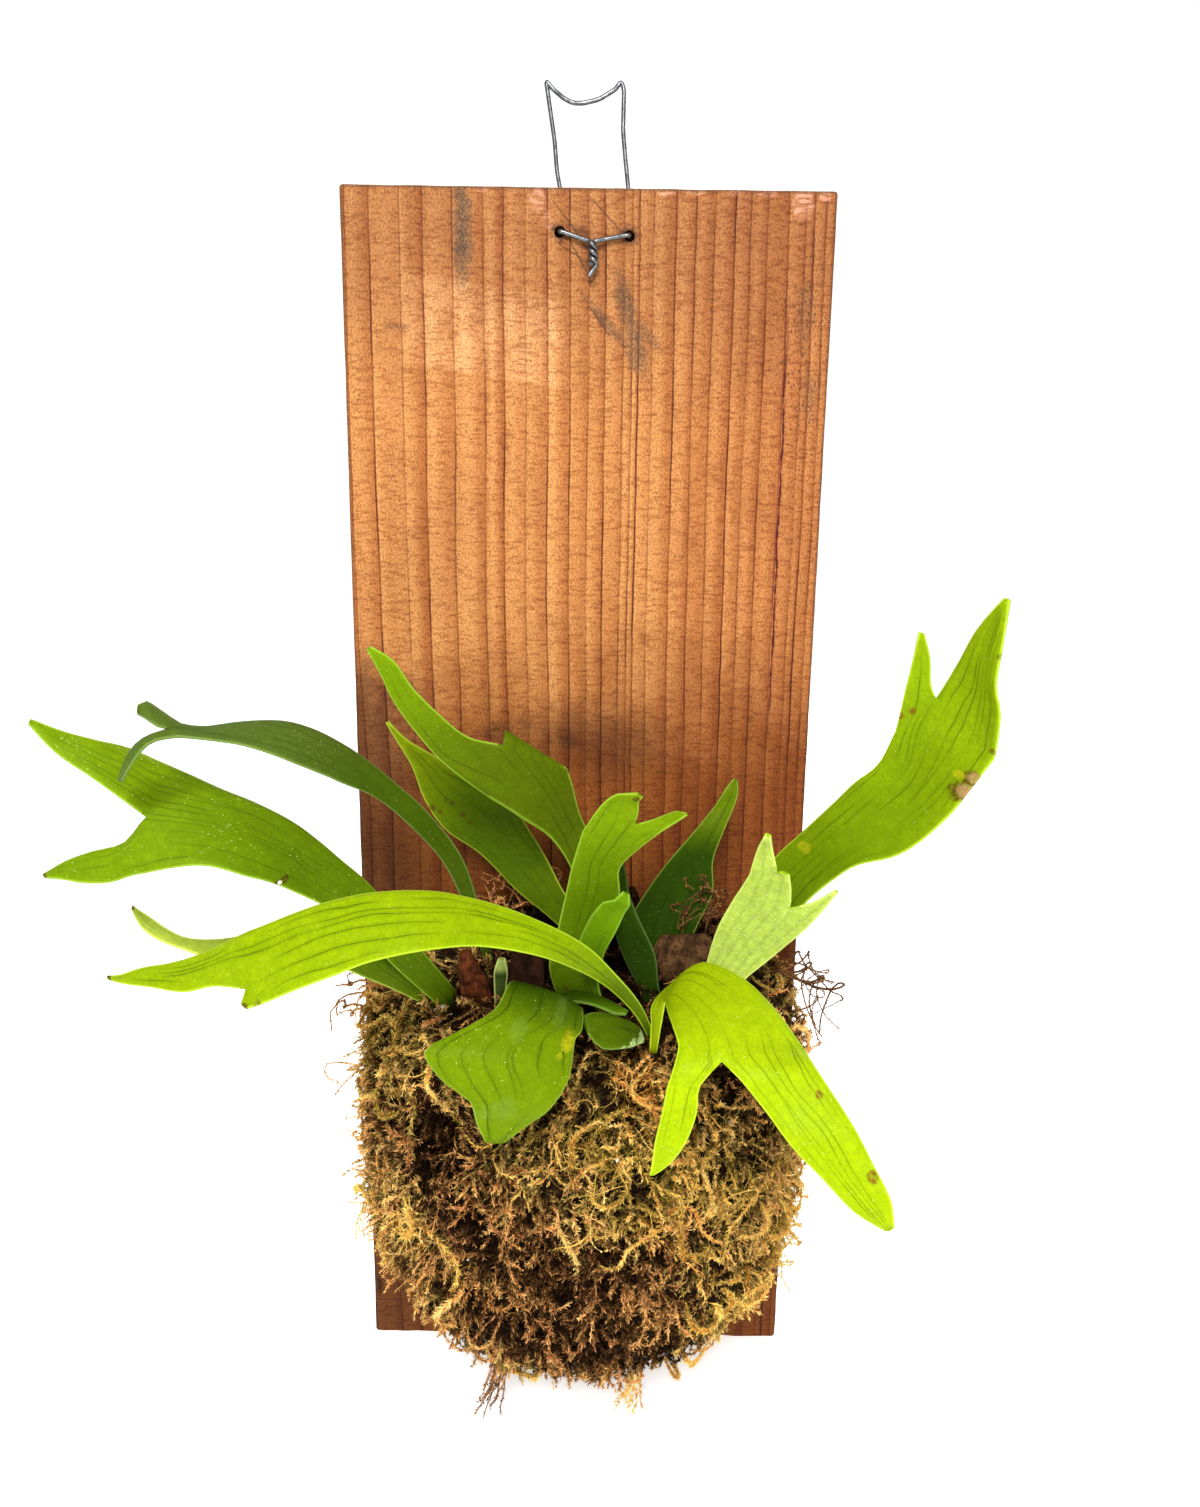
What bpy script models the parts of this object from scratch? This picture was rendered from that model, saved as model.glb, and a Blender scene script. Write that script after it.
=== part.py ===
"""Staghorn fern mounted on a plank, with its wire hanger.

X is to the viewer's right, +Z is up and -Y is out of the wall, toward the viewer.
The origin is where a hook bears on the wire loop, in the plane of the plank's back.
Lengths are in millimetres here, and the meshes are made in metres.
"""

import math

import bmesh
import bpy
from mathutils import Matrix, Vector, noise

NAME = "staghorn_fern"
MM = 0.001
GAP = 0.3

# Plank: a surfaced five and a half inch board
PLANK_WIDTH = 140.0
PLANK_LENGTH = 372.0
PLANK_THICK = 19.0
PLANK_EASE = 0.8
HOOK_TO_PLANK = 26.5
PLANK_TOP = -HOOK_TO_PLANK
PLANK_MID = PLANK_TOP - PLANK_LENGTH / 2
DRILLED_END = 40.0

# Wire hanger: one length of 16 gauge wire through two drilled holes
WIRE = 1.3
HOLE = 3.2
HOLES = ((-8.0, 11.8), (11.7, 12.6))
WIRE_BEHIND = 0.95
WIRE_FRONT = 1.15
WIRE_BEND = 1.2
KNOT_PROUD = 2.5
KNOT_DRIFT = 0.6
TWIST_RADIUS = 0.85
TWIST_TURNS = 1.5
TWIST_LENGTH = 6.0

# Moss mound over the root ball
MOUND_X = 1.5
MOUND_Z = -88.0
MOUND_HALF_WIDTH = 68.5
MOUND_UP = 66.0
MOUND_DOWN = 73.0
MOUND_OUT = 64.0
MOUND_SAG = 0.30
MOUND_BOXY = 2.7
MOUND_SHOULDER = 3.4
MOUND_CHIN = 2.2
MOUND_AROUND = 44
MOUND_RINGS = 11
TUFT_HEIGHT = 4.2
TUFT_SIZE = 14.0
KNOB_HEIGHT = 2.1
KNOB_SIZE = 6.0

# Blades
BLADE_THICK = 0.9
STALK_THICK = 1.8
STALK_WIDTH = 5.0
ROW_SPACING = 7.5
POCKET = 0.6


def clear_scene():
    for obj in list(bpy.data.objects):
        bpy.data.objects.remove(obj, do_unlink=True)
    for collection in list(bpy.data.collections):
        bpy.data.collections.remove(collection)


def new_collection(name):
    collection = bpy.data.collections.new(name)
    bpy.context.scene.collection.children.link(collection)
    return collection


def material(name, colour, roughness, metallic=0.0):
    made = bpy.data.materials.new(name)
    made.use_nodes = True
    shader = made.node_tree.nodes["Principled BSDF"]
    shader.inputs["Base Color"].default_value = (*colour, 1.0)
    shader.inputs["Roughness"].default_value = roughness
    shader.inputs["Metallic"].default_value = metallic
    made.diffuse_color = (*colour, 1.0)
    return made


def object_from(name, mesh, collection, look):
    obj = bpy.data.objects.new(name, mesh)
    obj.data.materials.append(look)
    collection.objects.link(obj)
    return obj


def hide_cutter(cutter):
    cutter.hide_render = True
    cutter.display_type = "WIRE"


def cut(obj, cutter):
    """Takes the cutter out of the object."""
    step = obj.modifiers.new("cut_" + cutter.name, "BOOLEAN")
    step.operation = "DIFFERENCE"
    step.solver = "EXACT"
    step.object = cutter


# Plank ---------------------------------------------------------------------------------


def make_plank(collection, cutters, look):
    """A board with eased edges and two drilled holes near its top."""
    shape = bmesh.new()
    bmesh.ops.create_cube(shape, size=1.0)
    size = Vector((PLANK_WIDTH, PLANK_THICK, PLANK_LENGTH)) * MM
    middle = Vector((0, -PLANK_THICK / 2, PLANK_MID)) * MM
    bmesh.ops.scale(shape, vec=size, verts=shape.verts)
    bmesh.ops.translate(shape, vec=middle, verts=shape.verts)
    bmesh.ops.bisect_plane(
        shape,
        geom=[*shape.verts, *shape.edges, *shape.faces],
        plane_co=Vector((0, 0, PLANK_TOP - DRILLED_END)) * MM,
        plane_no=(0, 0, 1),
    )
    mesh = bpy.data.meshes.new("plank")
    shape.to_mesh(mesh)
    shape.free()
    plank = object_from("plank", mesh, collection, look)
    ease = plank.modifiers.new("eased_edges", "BEVEL")
    ease.width = PLANK_EASE * MM
    ease.segments = 2
    ease.limit_method = "ANGLE"
    ease.angle_limit = math.radians(40)
    for number, (x, down) in enumerate(HOLES):
        drill = make_drill(f"drill_{number}", x, PLANK_TOP - down, cutters, look)
        cut(plank, drill)
    return plank


def make_drill(name, x, z, cutters, look):
    shape = bmesh.new()
    bmesh.ops.create_cone(
        shape,
        cap_ends=True,
        segments=16,
        radius1=HOLE / 2 * MM,
        radius2=HOLE / 2 * MM,
        depth=(PLANK_THICK + 10) * MM,
    )
    mesh = bpy.data.meshes.new(name)
    shape.to_mesh(mesh)
    shape.free()
    drill = object_from(name, mesh, cutters, look)
    drill.location = Vector((x, -PLANK_THICK / 2, z)) * MM
    drill.rotation_euler.x = math.pi / 2
    hide_cutter(drill)
    return drill


# Wire hanger ---------------------------------------------------------------------------


def rounded(points, radius, steps=3):
    """The path with each corner replaced by a short arc."""
    path = [Vector(points[0])]
    for before, here, after in zip(points, points[1:], points[2:]):
        corner = Vector(here)
        to_before = Vector(before) - corner
        to_after = Vector(after) - corner
        reach = min(radius, to_before.length / 2, to_after.length / 2)
        start = corner + to_before.normalized() * reach
        end = corner + to_after.normalized() * reach
        for i in range(steps + 1):
            t = i / steps
            first = start.lerp(corner, t)
            second = corner.lerp(end, t)
            path.append(first.lerp(second, t))
    path.append(Vector(points[-1]))
    return path


def twist(side, top, steps=10):
    """One strand of the twisted ends, winding down from the top point."""
    strand = []
    for i in range(steps + 1):
        t = i / steps
        turn = math.tau * TWIST_TURNS * t + (math.pi if side < 0 else 0.0)
        spread = TWIST_RADIUS * math.cos(turn)
        depth = TWIST_RADIUS * math.sin(turn)
        drift = KNOT_DRIFT * t
        strand.append(
            (top[0] + drift + spread, top[1] + depth, top[2] - TWIST_LENGTH * t)
        )
    return strand


def wire_path():
    """The wire's middle line, from its tail on the front round the loop to its other end."""
    front = -PLANK_THICK - WIRE_FRONT
    proud = -PLANK_THICK - KNOT_PROUD
    behind = WIRE_BEHIND
    low = WIRE / 2
    (left, left_down), (right, right_down) = HOLES
    left_hole = PLANK_TOP - left_down
    right_hole = PLANK_TOP - right_down
    knot = (1.2, proud, left_hole - 2.8)
    strand_left = twist(-1, knot)
    strand_right = twist(1, knot)
    tail = strand_left[-1]
    points = [(tail[0] - 2.2, tail[1], tail[2] - 3.2)]
    points += strand_left[::-1]
    points += [
        (-2.2, proud + 0.6, left_hole - 1.9),
        (left + 1.4, front, left_hole - 0.4),
        (left, front, left_hole),
        (left, -PLANK_THICK + 1.5, left_hole),
        (left, -1.0, left_hole),
        (left, behind, left_hole + 0.3),
        (left - 0.2, behind, PLANK_TOP - 4.0),
        (left - 0.1, behind + 0.2, PLANK_TOP + 1.0),
        (left - 1.7, behind + 0.2, PLANK_TOP + 9.0),
        (left - 2.4, behind, PLANK_TOP + 17.0),
        (left - 5.0, behind - 0.4, PLANK_TOP + 33.0),
        (left - 3.4, behind - 0.6, PLANK_TOP + 31.0),
        (left + 0.1, behind, PLANK_TOP + 28.4),
        (left + 2.8, behind, low),
        (left + 5.8, behind, low),
        (left + 10.4, behind, PLANK_TOP + 28.2),
        (right - 4.4, behind, PLANK_TOP + 31.0),
        (right - 2.9, behind, PLANK_TOP + 33.2),
        (right - 2.0, behind, PLANK_TOP + 31.0),
        (right - 2.1, behind, PLANK_TOP + 20.0),
        (right - 1.2, behind + 0.2, PLANK_TOP + 12.0),
        (right + 0.2, behind + 0.2, PLANK_TOP + 1.0),
        (right + 0.2, behind, PLANK_TOP - 4.0),
        (right, behind, right_hole + 0.3),
        (right, -1.0, right_hole),
        (right, -PLANK_THICK + 1.5, right_hole),
        (right, front, right_hole),
        (right - 1.4, front, right_hole - 0.2),
        (4.4, proud + 0.6, right_hole - 1.4),
    ]
    points += strand_right
    return rounded(points, WIRE_BEND, 2)


def make_wire(collection, look):
    """One round wire swept along its path."""
    curve = bpy.data.curves.new("wire_hanger", "CURVE")
    curve.dimensions = "3D"
    curve.bevel_depth = WIRE / 2 * MM
    curve.bevel_resolution = 2
    curve.use_fill_caps = True
    path = wire_path()
    spline = curve.splines.new("POLY")
    spline.points.add(len(path) - 1)
    for point, place in zip(spline.points, path):
        point.co = (*(place * MM), 1.0)
    return object_from("wire_hanger", curve, collection, look)


# Blades --------------------------------------------------------------------------------


def at(x, out, z, width, bearing, dip):
    """One station of a blade: the middle of its cross line and half that line.

    out is the distance from the plank's face and z is measured from the plank's middle.
    The cross line points along bearing, as seen from the front, and dips outward.
    """
    middle = Vector((x, -PLANK_THICK - out, PLANK_MID + z))
    flat = math.cos(math.radians(dip))
    half = Vector(
        (
            flat * math.cos(math.radians(bearing)),
            -math.sin(math.radians(dip)),
            flat * math.sin(math.radians(bearing)),
        )
    )
    return middle, half * width / 2


def limb(rows, share=None, notch=(0.0, 0.0), first=None, second=None, spacing=ROW_SPACING):
    """A run of stations that may end in two further limbs.

    The notch between them splits the last cross line at share. It lies that far past
    the line, and that far along it.
    """
    return {
        "rows": rows,
        "share": share,
        "notch": notch,
        "first": first,
        "second": second,
        "spacing": spacing,
    }


def catmull(before, start, end, after, t):
    """A point on the smooth curve from start to end, as a pair of vectors."""
    found = []
    for a, b, c, d in zip(before, start, end, after):
        slope_in = (c - a) / 2
        slope_out = (d - b) / 2
        t2 = t * t
        t3 = t2 * t
        found.append(
            b * (2 * t3 - 3 * t2 + 1)
            + slope_in * (t3 - 2 * t2 + t)
            + c * (3 * t2 - 2 * t3)
            + slope_out * (t3 - t2)
        )
    return tuple(found)


def beyond(end, inner):
    """The station that carries a run on past its end."""
    return tuple(a * 2 - b for a, b in zip(end, inner))


def sample(stations, spacing, lead=None):
    """Evenly spaced cross lines along the stations."""
    line = list(stations)
    start = lead or beyond(line[0], line[1])
    line = [start, *line, beyond(line[-1], line[-2])]
    found = [line[1]]
    for i in range(1, len(line) - 2):
        span = (line[i + 1][0] - line[i][0]).length
        steps = max(1, round(span / spacing))
        for k in range(1, steps + 1):
            found.append(catmull(line[i - 1], line[i], line[i + 1], line[i + 2], k / steps))
    return found


class Sheet:
    """An open sheet of triangles, grown limb by limb."""

    def __init__(self, camber):
        self.camber = camber
        self.verts = []
        self.across = []
        self.faces = []

    def place(self, point, width):
        self.verts.append(point)
        self.across.append(width)
        return len(self.verts) - 1

    def join(self, near, far):
        for i in range(len(near) - 1):
            a, b = near[i], near[i + 1]
            c, d = far[i + 1], far[i]
            self.faces.append((a, b, c))
            self.faces.append((a, c, d))

    def grow(self, part, columns, lead=None, root=None):
        """Adds a limb and then the two that it divides into."""
        stations = list(part["rows"])
        if root:
            ends = (self.verts[root[0]], self.verts[root[-1]])
            stations.insert(0, ((ends[0] + ends[1]) / 2, (ends[1] - ends[0]) / 2))
        lines = sample(stations, part["spacing"], lead)
        last = len(lines) - 1
        previous = root
        for i, (middle, half) in enumerate(lines):
            if root and i == 0:
                continue
            ahead = lines[min(i + 1, last)][0] - lines[max(i - 1, 0)][0]
            width = half.length * 2
            normal = ahead.cross(half).normalized()
            row = []
            for j in range(columns + 1):
                s = 2 * j / columns - 1
                rise = self.camber * max(0.0, width - STALK_WIDTH) * (1 - s * s)
                point = middle + half * s + normal * rise
                if part["share"]:
                    peak = 2 * part["share"] - 1
                    tent = (s + 1) / (peak + 1) if s < peak else (1 - s) / (1 - peak)
                    late = max(0.0, (i - last * 0.5) / (last * 0.5)) ** 2
                    past, along = part["notch"]
                    shift = ahead.normalized() * past + half.normalized() * along
                    point = point + shift * tent * late
                row.append(self.place(point, width))
            if previous:
                self.join(previous, row)
            previous = row
        if not part["share"]:
            return
        split = min(max(round(part["share"] * columns), 1), columns - 1)
        left = previous[: split + 1]
        right = previous[split:]
        back = lines[-2]
        for branch, root_row in ((part["first"], left), (part["second"], right)):
            ends = (self.verts[root_row[0]], self.verts[root_row[-1]])
            middle = (ends[0] + ends[1]) / 2
            lead_middle = middle + back[0] - lines[-1][0]
            lead_line = (lead_middle, (ends[1] - ends[0]) / 2)
            self.grow(branch, len(root_row) - 1, lead_line, root_row)


def make_blade(name, part, columns, camber, collection, look, grow=0.0, rows=None):
    """One blade as an open sheet with its thickness; grow swells it into a pocket's cutter."""
    used = part
    if rows:
        used = limb(part["rows"][:rows], spacing=part["spacing"])
    if grow:
        stations = [(m, h * (h.length + grow) / h.length) for m, h in used["rows"]]
        step = (stations[0][0] - stations[1][0]).normalized() * grow
        stations[0] = (stations[0][0] + step, stations[0][1])
        used = limb(stations, spacing=part["spacing"])
    sheet = Sheet(camber)
    sheet.grow(used, columns)
    mesh = bpy.data.meshes.new(name)
    mesh.from_pydata([point * MM for point in sheet.verts], [], sheet.faces)
    mesh.shade_smooth()
    blade = object_from(name, mesh, collection, look)
    full = STALK_THICK + 2 * grow
    group = blade.vertex_groups.new(name="thickness")
    for i, width in enumerate(sheet.across):
        stalk = max(0.0, 1 - (width - 2 * grow) / STALK_WIDTH / 2)
        thick = BLADE_THICK + (STALK_THICK - BLADE_THICK) * stalk + 2 * grow
        group.add([i], thick / full, "REPLACE")
    skin = blade.modifiers.new("thickness", "SOLIDIFY")
    skin.thickness = full * MM
    skin.offset = 0.0
    skin.use_even_offset = False
    skin.vertex_group = group.name
    return blade


# Moss mound ----------------------------------------------------------------------------


def signed_power(value, power):
    return math.copysign(abs(value) ** power, value)


def mound_point(direction):
    """Where the mound's smooth form lies along a unit direction from its heart."""
    turn = math.atan2(direction.z, direction.x)
    lean = math.acos(max(-1.0, min(1.0, -direction.y)))
    curve = 2 / MOUND_BOXY
    spread = math.sin(lean) ** curve
    out = MOUND_OUT * max(math.cos(lean), 0.0) ** curve
    high = math.sin(turn) > 0
    corner = MOUND_SHOULDER if high else MOUND_CHIN
    across = signed_power(math.cos(turn), 2 / corner) * spread
    up = signed_power(math.sin(turn), 2 / corner) * spread
    tall = MOUND_UP if high else MOUND_DOWN
    x = MOUND_X + MOUND_HALF_WIDTH * across
    z = PLANK_MID + MOUND_Z + tall * up - MOUND_SAG * out
    return Vector((x, -PLANK_THICK - GAP - out, z))


def lumpy(point):
    """The mound's tufts and hollows, pushed out from its heart."""
    heart = Vector((MOUND_X, -PLANK_THICK - 10, PLANK_MID + MOUND_Z))
    away = (point - heart).normalized()
    tufts = noise.noise(point / TUFT_SIZE) * TUFT_HEIGHT
    knobs = noise.noise(point / KNOB_SIZE + Vector((7, 3, 5))) * KNOB_HEIGHT
    return point + away * (tufts + knobs)


def make_mound(collection, look):
    """Half a sphere drawn into the mound's form, flat where it meets the plank."""
    back = -PLANK_THICK - GAP
    shape = bmesh.new()
    bmesh.ops.create_uvsphere(
        shape, u_segments=MOUND_AROUND, v_segments=2 * MOUND_RINGS, radius=1.0
    )
    bmesh.ops.rotate(
        shape, matrix=Matrix.Rotation(math.pi / 2, 3, "X"), verts=shape.verts
    )
    behind = [vert for vert in shape.verts if vert.co.y > 0.01]
    bmesh.ops.delete(shape, geom=behind, context="VERTS")
    for vert in shape.verts:
        at_rim = vert.co.y > -0.01
        point = lumpy(mound_point(vert.co.normalized()))
        point.y = back if at_rim else min(point.y, back - 0.5)
        vert.co = point * MM
    rim = [edge for edge in shape.edges if edge.is_boundary]
    bmesh.ops.contextual_create(shape, geom=rim)
    bmesh.ops.recalc_face_normals(shape, faces=shape.faces)
    mesh = bpy.data.meshes.new("moss_mound")
    shape.to_mesh(mesh)
    shape.free()
    mesh.set_sharp_from_angle(angle=math.radians(60))
    return object_from("moss_mound", mesh, collection, look)


# Fern ----------------------------------------------------------------------------------

FAR_LEFT = limb(
    [
        at(-36, 31, -50, 5, -142, 25),
        at(-39, 37, -41, 7, -129, 17),
        at(-47, 44, -28, 9, -157, 28),
        at(-59, 51, -9, 13, -156, 50),
        at(-72, 57, 4, 17, -128, 54),
        at(-83, 61, 12, 22, -108, 56),
        at(-95, 63, 17, 24, -93, 50),
        at(-110, 64, 19, 31, -97, 38),
    ],
    share=0.5,
    notch=(1, 0),
    first=limb(
        [
            at(-116, 62, 30, 16, -78, 42),
            at(-124, 64, 35, 10, -89, 42),
            at(-132, 64, 39, 6, -105, 43),
            at(-139, 64, 44, 1.5, -107, 35),
        ]
    ),
    second=limb(
        [
            at(-117, 70, 9, 11, -101, 38),
            at(-124, 71, 8, 9, -94, 44),
            at(-130, 71, 7, 5.5, -79, 47),
            at(-136, 70, 5, 1.5, -33, 51),
        ]
    ),
)

DARK_ARCH = limb(
    [
        at(-25, 24, -47, 3, -166, 0),
        at(-28, 26, -30, 3, -167, 0),
        at(-32, 30, -14, 4.5, -175, 0),
        at(-36, 36, 0, 5.5, -161, 10),
        at(-43, 44, 13, 6.5, -159, 27),
        at(-51, 50, 23, 8, -166, 38),
        at(-61, 59, 33, 11, -105, 49),
        at(-71, 66, 40, 13, -90, 56),
        at(-82, 69, 43, 11, -70, 66),
        at(-93, 70, 43, 7.5, -46, 70),
        at(-98, 72, 44, 5.5, -65, 61),
    ],
    share=0.5,
    notch=(2, 0),
    first=limb(
        [
            at(-103, 72, 47, 5.5, -79, 47),
            at(-106, 72, 49, 5, -82, 35),
            at(-108, 72, 49, 2.5, -84, 23),
        ]
    ),
    second=limb(
        [
            at(-103, 76, 43, 3, -32, 46),
            at(-106, 78, 41, 4, -15, 46),
            at(-109, 78, 37, 4, -16, 48),
            at(-112, 76, 32, 2.5, 1, 48),
        ]
    ),
)

FRONT_LEFT = limb(
    [
        at(22, 42, -53, 2, -179, 0),
        at(20, 50, -44, 2.5, -137, 0),
        at(16, 57, -34, 3.5, -125, 0),
        at(9, 65, -23, 4.5, -132, 0),
        at(1, 72, -14, 7, -135, 26),
        at(-9, 80, -6, 9, -119, 41),
        at(-22, 86, 0, 12, -101, 47),
        at(-35, 92, 3, 16, -88, 50),
        at(-48, 94, 2, 18, -77, 47),
        at(-60, 94, -2, 19, -69, 43),
        at(-76, 93, -9, 19, -66, 40),
    ],
    share=0.75,
    notch=(3, 0),
    first=limb(
        [
            at(-89, 88, -12, 10, -54, 45),
            at(-97, 86, -15, 9, -54, 45),
            at(-107, 82, -17, 6, -52, 44),
            at(-114, 79, -19, 3, -52, 41),
            at(-119, 76, -20, 1.5, -46, 48),
        ]
    ),
    second=limb([at(-77, 100, -16, 2, -20, 33)]),
)

LOW_LEFT = limb(
    [
        at(-40, 27, -52, 4, -156, 31),
        at(-42, 33, -46, 4.5, -159, 27),
        at(-49, 40, -37, 6, -145, 29),
        at(-58, 46, -28, 9, -129, 43),
        at(-68, 50, -21, 11, -98, 53),
        at(-81, 53, -19, 12, -81, 56),
        at(-96, 54, -21, 8, -97, 60),
        at(-107, 53, -20, 4, -120, 60),
        at(-113, 54, -17, 4, -140, 47),
        at(-118, 54, -13, 3.5, -126, 37),
        at(-121, 54, -9, 1, -111, 0),
    ]
)

TORN = limb(
    [
        at(5, 26, -36, 3.5, 1, 0),
        at(4, 28, -15, 6, 16, 0),
        at(1, 30, -1, 9, 43, -7),
        at(-4, 34, 10, 11, 42, -10),
        at(-9, 38, 18, 17, 32, -10),
        at(-14, 41, 24, 23, 19, -10),
    ],
    share=0.32,
    notch=(15, 7),
    first=limb(
        [
            at(-33, 46, 34, 10, 52, -6),
            at(-40, 50, 42, 8, 43, -7),
            at(-46, 52, 50, 6.5, 36, 0),
            at(-50, 54, 58, 5, 39, 0),
            at(-54, 56, 63, 1.5, 37, 0),
        ]
    ),
    second=limb([at(-12, 42, 34, 20, -35, -14)]),
)

SPOTTED = limb(
    [
        at(6, 24, -40, 4, 38, 0),
        at(0, 22, -26, 8, 54, 0),
        at(-7, 20, -19, 9, 52, 0),
        at(-14, 19, -11, 13, 38, 0),
        at(-22, 18, -1, 17, 21, 0),
        at(-31, 18, 8, 21, 25, 0),
        at(-41, 18, 17, 14, 38, 0),
        at(-47, 19, 25, 7, 35, 0),
        at(-52, 21, 31, 3, 18, 0),
        at(-56, 23, 37, 1, 19, 0),
    ]
)

MIDDLE = limb(
    [
        at(0, 36, -46, 8, 1, 0),
        at(-2, 42, -30, 12, 1, 0),
        at(1, 48, -16, 13, 1, 0),
        at(4, 52, -5, 15, 3, 4),
        at(5, 56, 5, 13, 0, 4),
        at(9, 60, 14, 16, -13, 7),
    ],
    share=0.7,
    notch=(7, 0),
    first=limb(
        [
            at(11, 61, 23, 10, -5, 0),
            at(13, 62, 26, 6, -17, 0),
            at(16, 63, 27, 2, -30, 0),
        ]
    ),
    second=limb(
        [
            at(21, 63, 19, 4, -51, 28),
            at(26, 64, 22, 3, -56, 42),
            at(28, 66, 23, 1, -68, 61),
        ]
    ),
)

SMALL_TIP = limb(
    [
        at(7.5, 37, -49, 3, -17, 0),
        at(6.5, 42, -41, 3, -17, 0),
        at(4, 47, -31, 5, -24, 8),
        at(4, 56, -19, 7.5, -14, 16),
        at(7, 60, -10, 8, -19, 15),
        at(10, 62, -4, 6.5, -22, 9),
        at(12, 64, -2, 4.5, -13, 13),
        at(13, 65, 1, 2, -23, 0),
    ]
)

DARK_RIGHT = limb(
    [
        at(24, 27, -42, 7, 1, 0),
        at(24, 26, -33, 15, 0, 4),
        at(26, 24, -22, 20, -2, 3),
        at(30, 22, -14, 20, 1, 3),
        at(33, 20, -5, 14, 5, 4),
        at(38, 20, 4, 9, 1, 6),
        at(43, 18, 12, 5.5, -6, 10),
        at(45, 18, 17, 4, -22, 0),
        at(46, 17, 20, 1.5, -26, 0),
    ]
)

NARROW_DARK = limb(
    [
        at(24, 34, -48, 4, 21, 0),
        at(21, 36, -38, 6, 21, 10),
        at(18, 38, -28, 9, 15, 6),
        at(14, 38, -18, 8, 15, 7),
        at(12, 37, -10, 5.5, 13, 0),
        at(12, 36, -5, 4, 19, 0),
        at(12, 36, 0, 1.5, 24, 0),
    ]
)

RIGHT = limb(
    [
        at(44, 25, -49, 5, -4, 10),
        at(46, 31, -40, 5, -4, 24),
        at(49, 36, -27, 9, -18, 33),
        at(54, 42, -13, 14, -21, 36),
        at(59, 48, 0, 16, -39, 44),
        at(68, 53, 11, 18, -44, 49),
        at(78, 58, 20, 24, -52, 46),
        at(86, 62, 29, 25, -33, 49),
        at(92, 66, 42, 28, -7, 46),
    ],
    share=0.38,
    notch=(12, -7),
    first=limb(
        [
            at(86, 61, 56, 6.5, 16, 18),
            at(86, 62, 63, 4.5, 16, 13),
            at(85, 64, 70, 1.5, -10, 0),
        ]
    ),
    second=limb(
        [
            at(97, 71, 55, 18, -32, 52),
            at(97, 73, 62, 13, -41, 53),
            at(98, 76, 70, 9, -43, 51),
            at(99, 78, 75, 5.5, -48, 44),
            at(100, 80, 80, 1.5, -28, 39),
        ]
    ),
)

PALE = limb(
    [
        at(36, 38, -52, 3, -11, 0),
        at(37, 46, -42, 4.5, -11, 0),
        at(39, 57, -27, 9, -18, 12),
        at(45, 65, -12, 17, -18, 7),
        at(50, 70, -2, 20, -21, 9),
    ],
    share=0.68,
    notch=(4, 0),
    first=limb(
        [at(49, 74, 8, 11, -17, 10)],
        share=0.62,
        notch=(4, 0),
        first=limb(
            [
                at(47, 76, 17, 4, 5, 14),
                at(47, 80, 22, 1.5, -18, 0),
            ]
        ),
        second=limb([at(52, 77, 11, 2.5, -12, 0)]),
    ),
    second=limb(
        [
            at(61, 74, 1, 3.5, -45, 16),
            at(65, 78, 7, 1, -44, 0),
        ]
    ),
)

FRONT_RIGHT = limb(
    [
        at(22, 44, -58, 2, -179, 0),
        at(22, 54, -46, 2.5, -179, 0),
        at(22, 62, -37, 3, 179, -19),
        at(22, 70, -28, 4.5, -163, -44),
        at(24, 76, -22, 7.5, 48, -74),
        at(28, 83, -17, 17, 40, -44),
        at(33, 92, -17, 23, 22, -32),
        at(37, 100, -20, 26, 11, -18),
        at(39, 106, -24, 31, 6, -7),
    ],
    share=0.36,
    notch=(1, 0),
    first=limb(
        [
            at(26, 110, -29, 7.5, 5, 8),
            at(25, 112, -35, 8, 5, 7),
            at(23, 114, -41, 7, 2, 8),
            at(21, 113, -47, 4, -6, 0),
            at(19, 113, -50, 1, 1, 0),
        ]
    ),
    second=limb(
        [
            at(47, 110, -25, 17, 14, -7),
            at(52, 114, -31, 16, 12, -4),
            at(57, 119, -37, 15, 13, 0),
            at(62, 122, -43, 12, 16, 5),
            at(67, 125, -49, 9, 30, 14),
            at(71, 126, -54, 2.5, 39, 23),
        ]
    ),
)

DROOPING = limb(
    [
        at(-4, 44, -54, 3, -5, 0),
        at(-5, 56, -38, 9, -18, 0),
        at(-7, 69, -26, 20, -24, -6),
        at(-9, 80, -28, 24, -17, -12),
        at(-15, 86, -30, 32, -8, -13),
        at(-18, 90, -33, 37, -8, -11),
        at(-16, 92, -39, 30, -3, -8),
        at(-15, 93, -44, 20, -8, -6),
        at(-17, 92, -50, 13, -2, -4),
        at(-19, 92, -55, 5, -6, -11),
    ]
)

SMALL_DROOP = limb(
    [
        at(14, 42, -58, 3, -113, 0),
        at(16.5, 50, -49, 3, -113, 0),
        at(18, 57, -43, 4.5, -70, 26),
        at(12, 65, -38, 10, -57, 37),
        at(6, 69, -36, 10, -67, 35),
        at(3, 70, -34, 5, -69, 37),
    ]
)

SHIELD_RIGHT = limb(
    [
        at(31, 30, -52, 18, 1, 0),
        at(31, 32, -44, 22, -1, 0),
        at(32, 33, -36, 23, -3, 0),
        at(32, 32, -29, 21, 1, 0),
        at(31, 30, -24, 13, 3, 0),
    ]
)

SHIELD_LEFT = limb(
    [
        at(-14.5, 36, -50, 8, 1, 0),
        at(-14.5, 39, -42, 9, -2, 0),
        at(-14.5, 42, -35, 10, -2, 0),
        at(-14, 43, -28, 9, 1, 0),
        at(-14, 43, -23, 5, 1, 0),
    ]
)

CROWN_SCALE = limb(
    [
        at(-29, 34, -50, 8, 4, 0),
        at(-29, 39, -41, 9, -3, 0),
        at(-30, 42, -33, 8, -6, 0),
        at(-32, 43, -25, 3, 5, 0),
    ]
)

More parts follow.
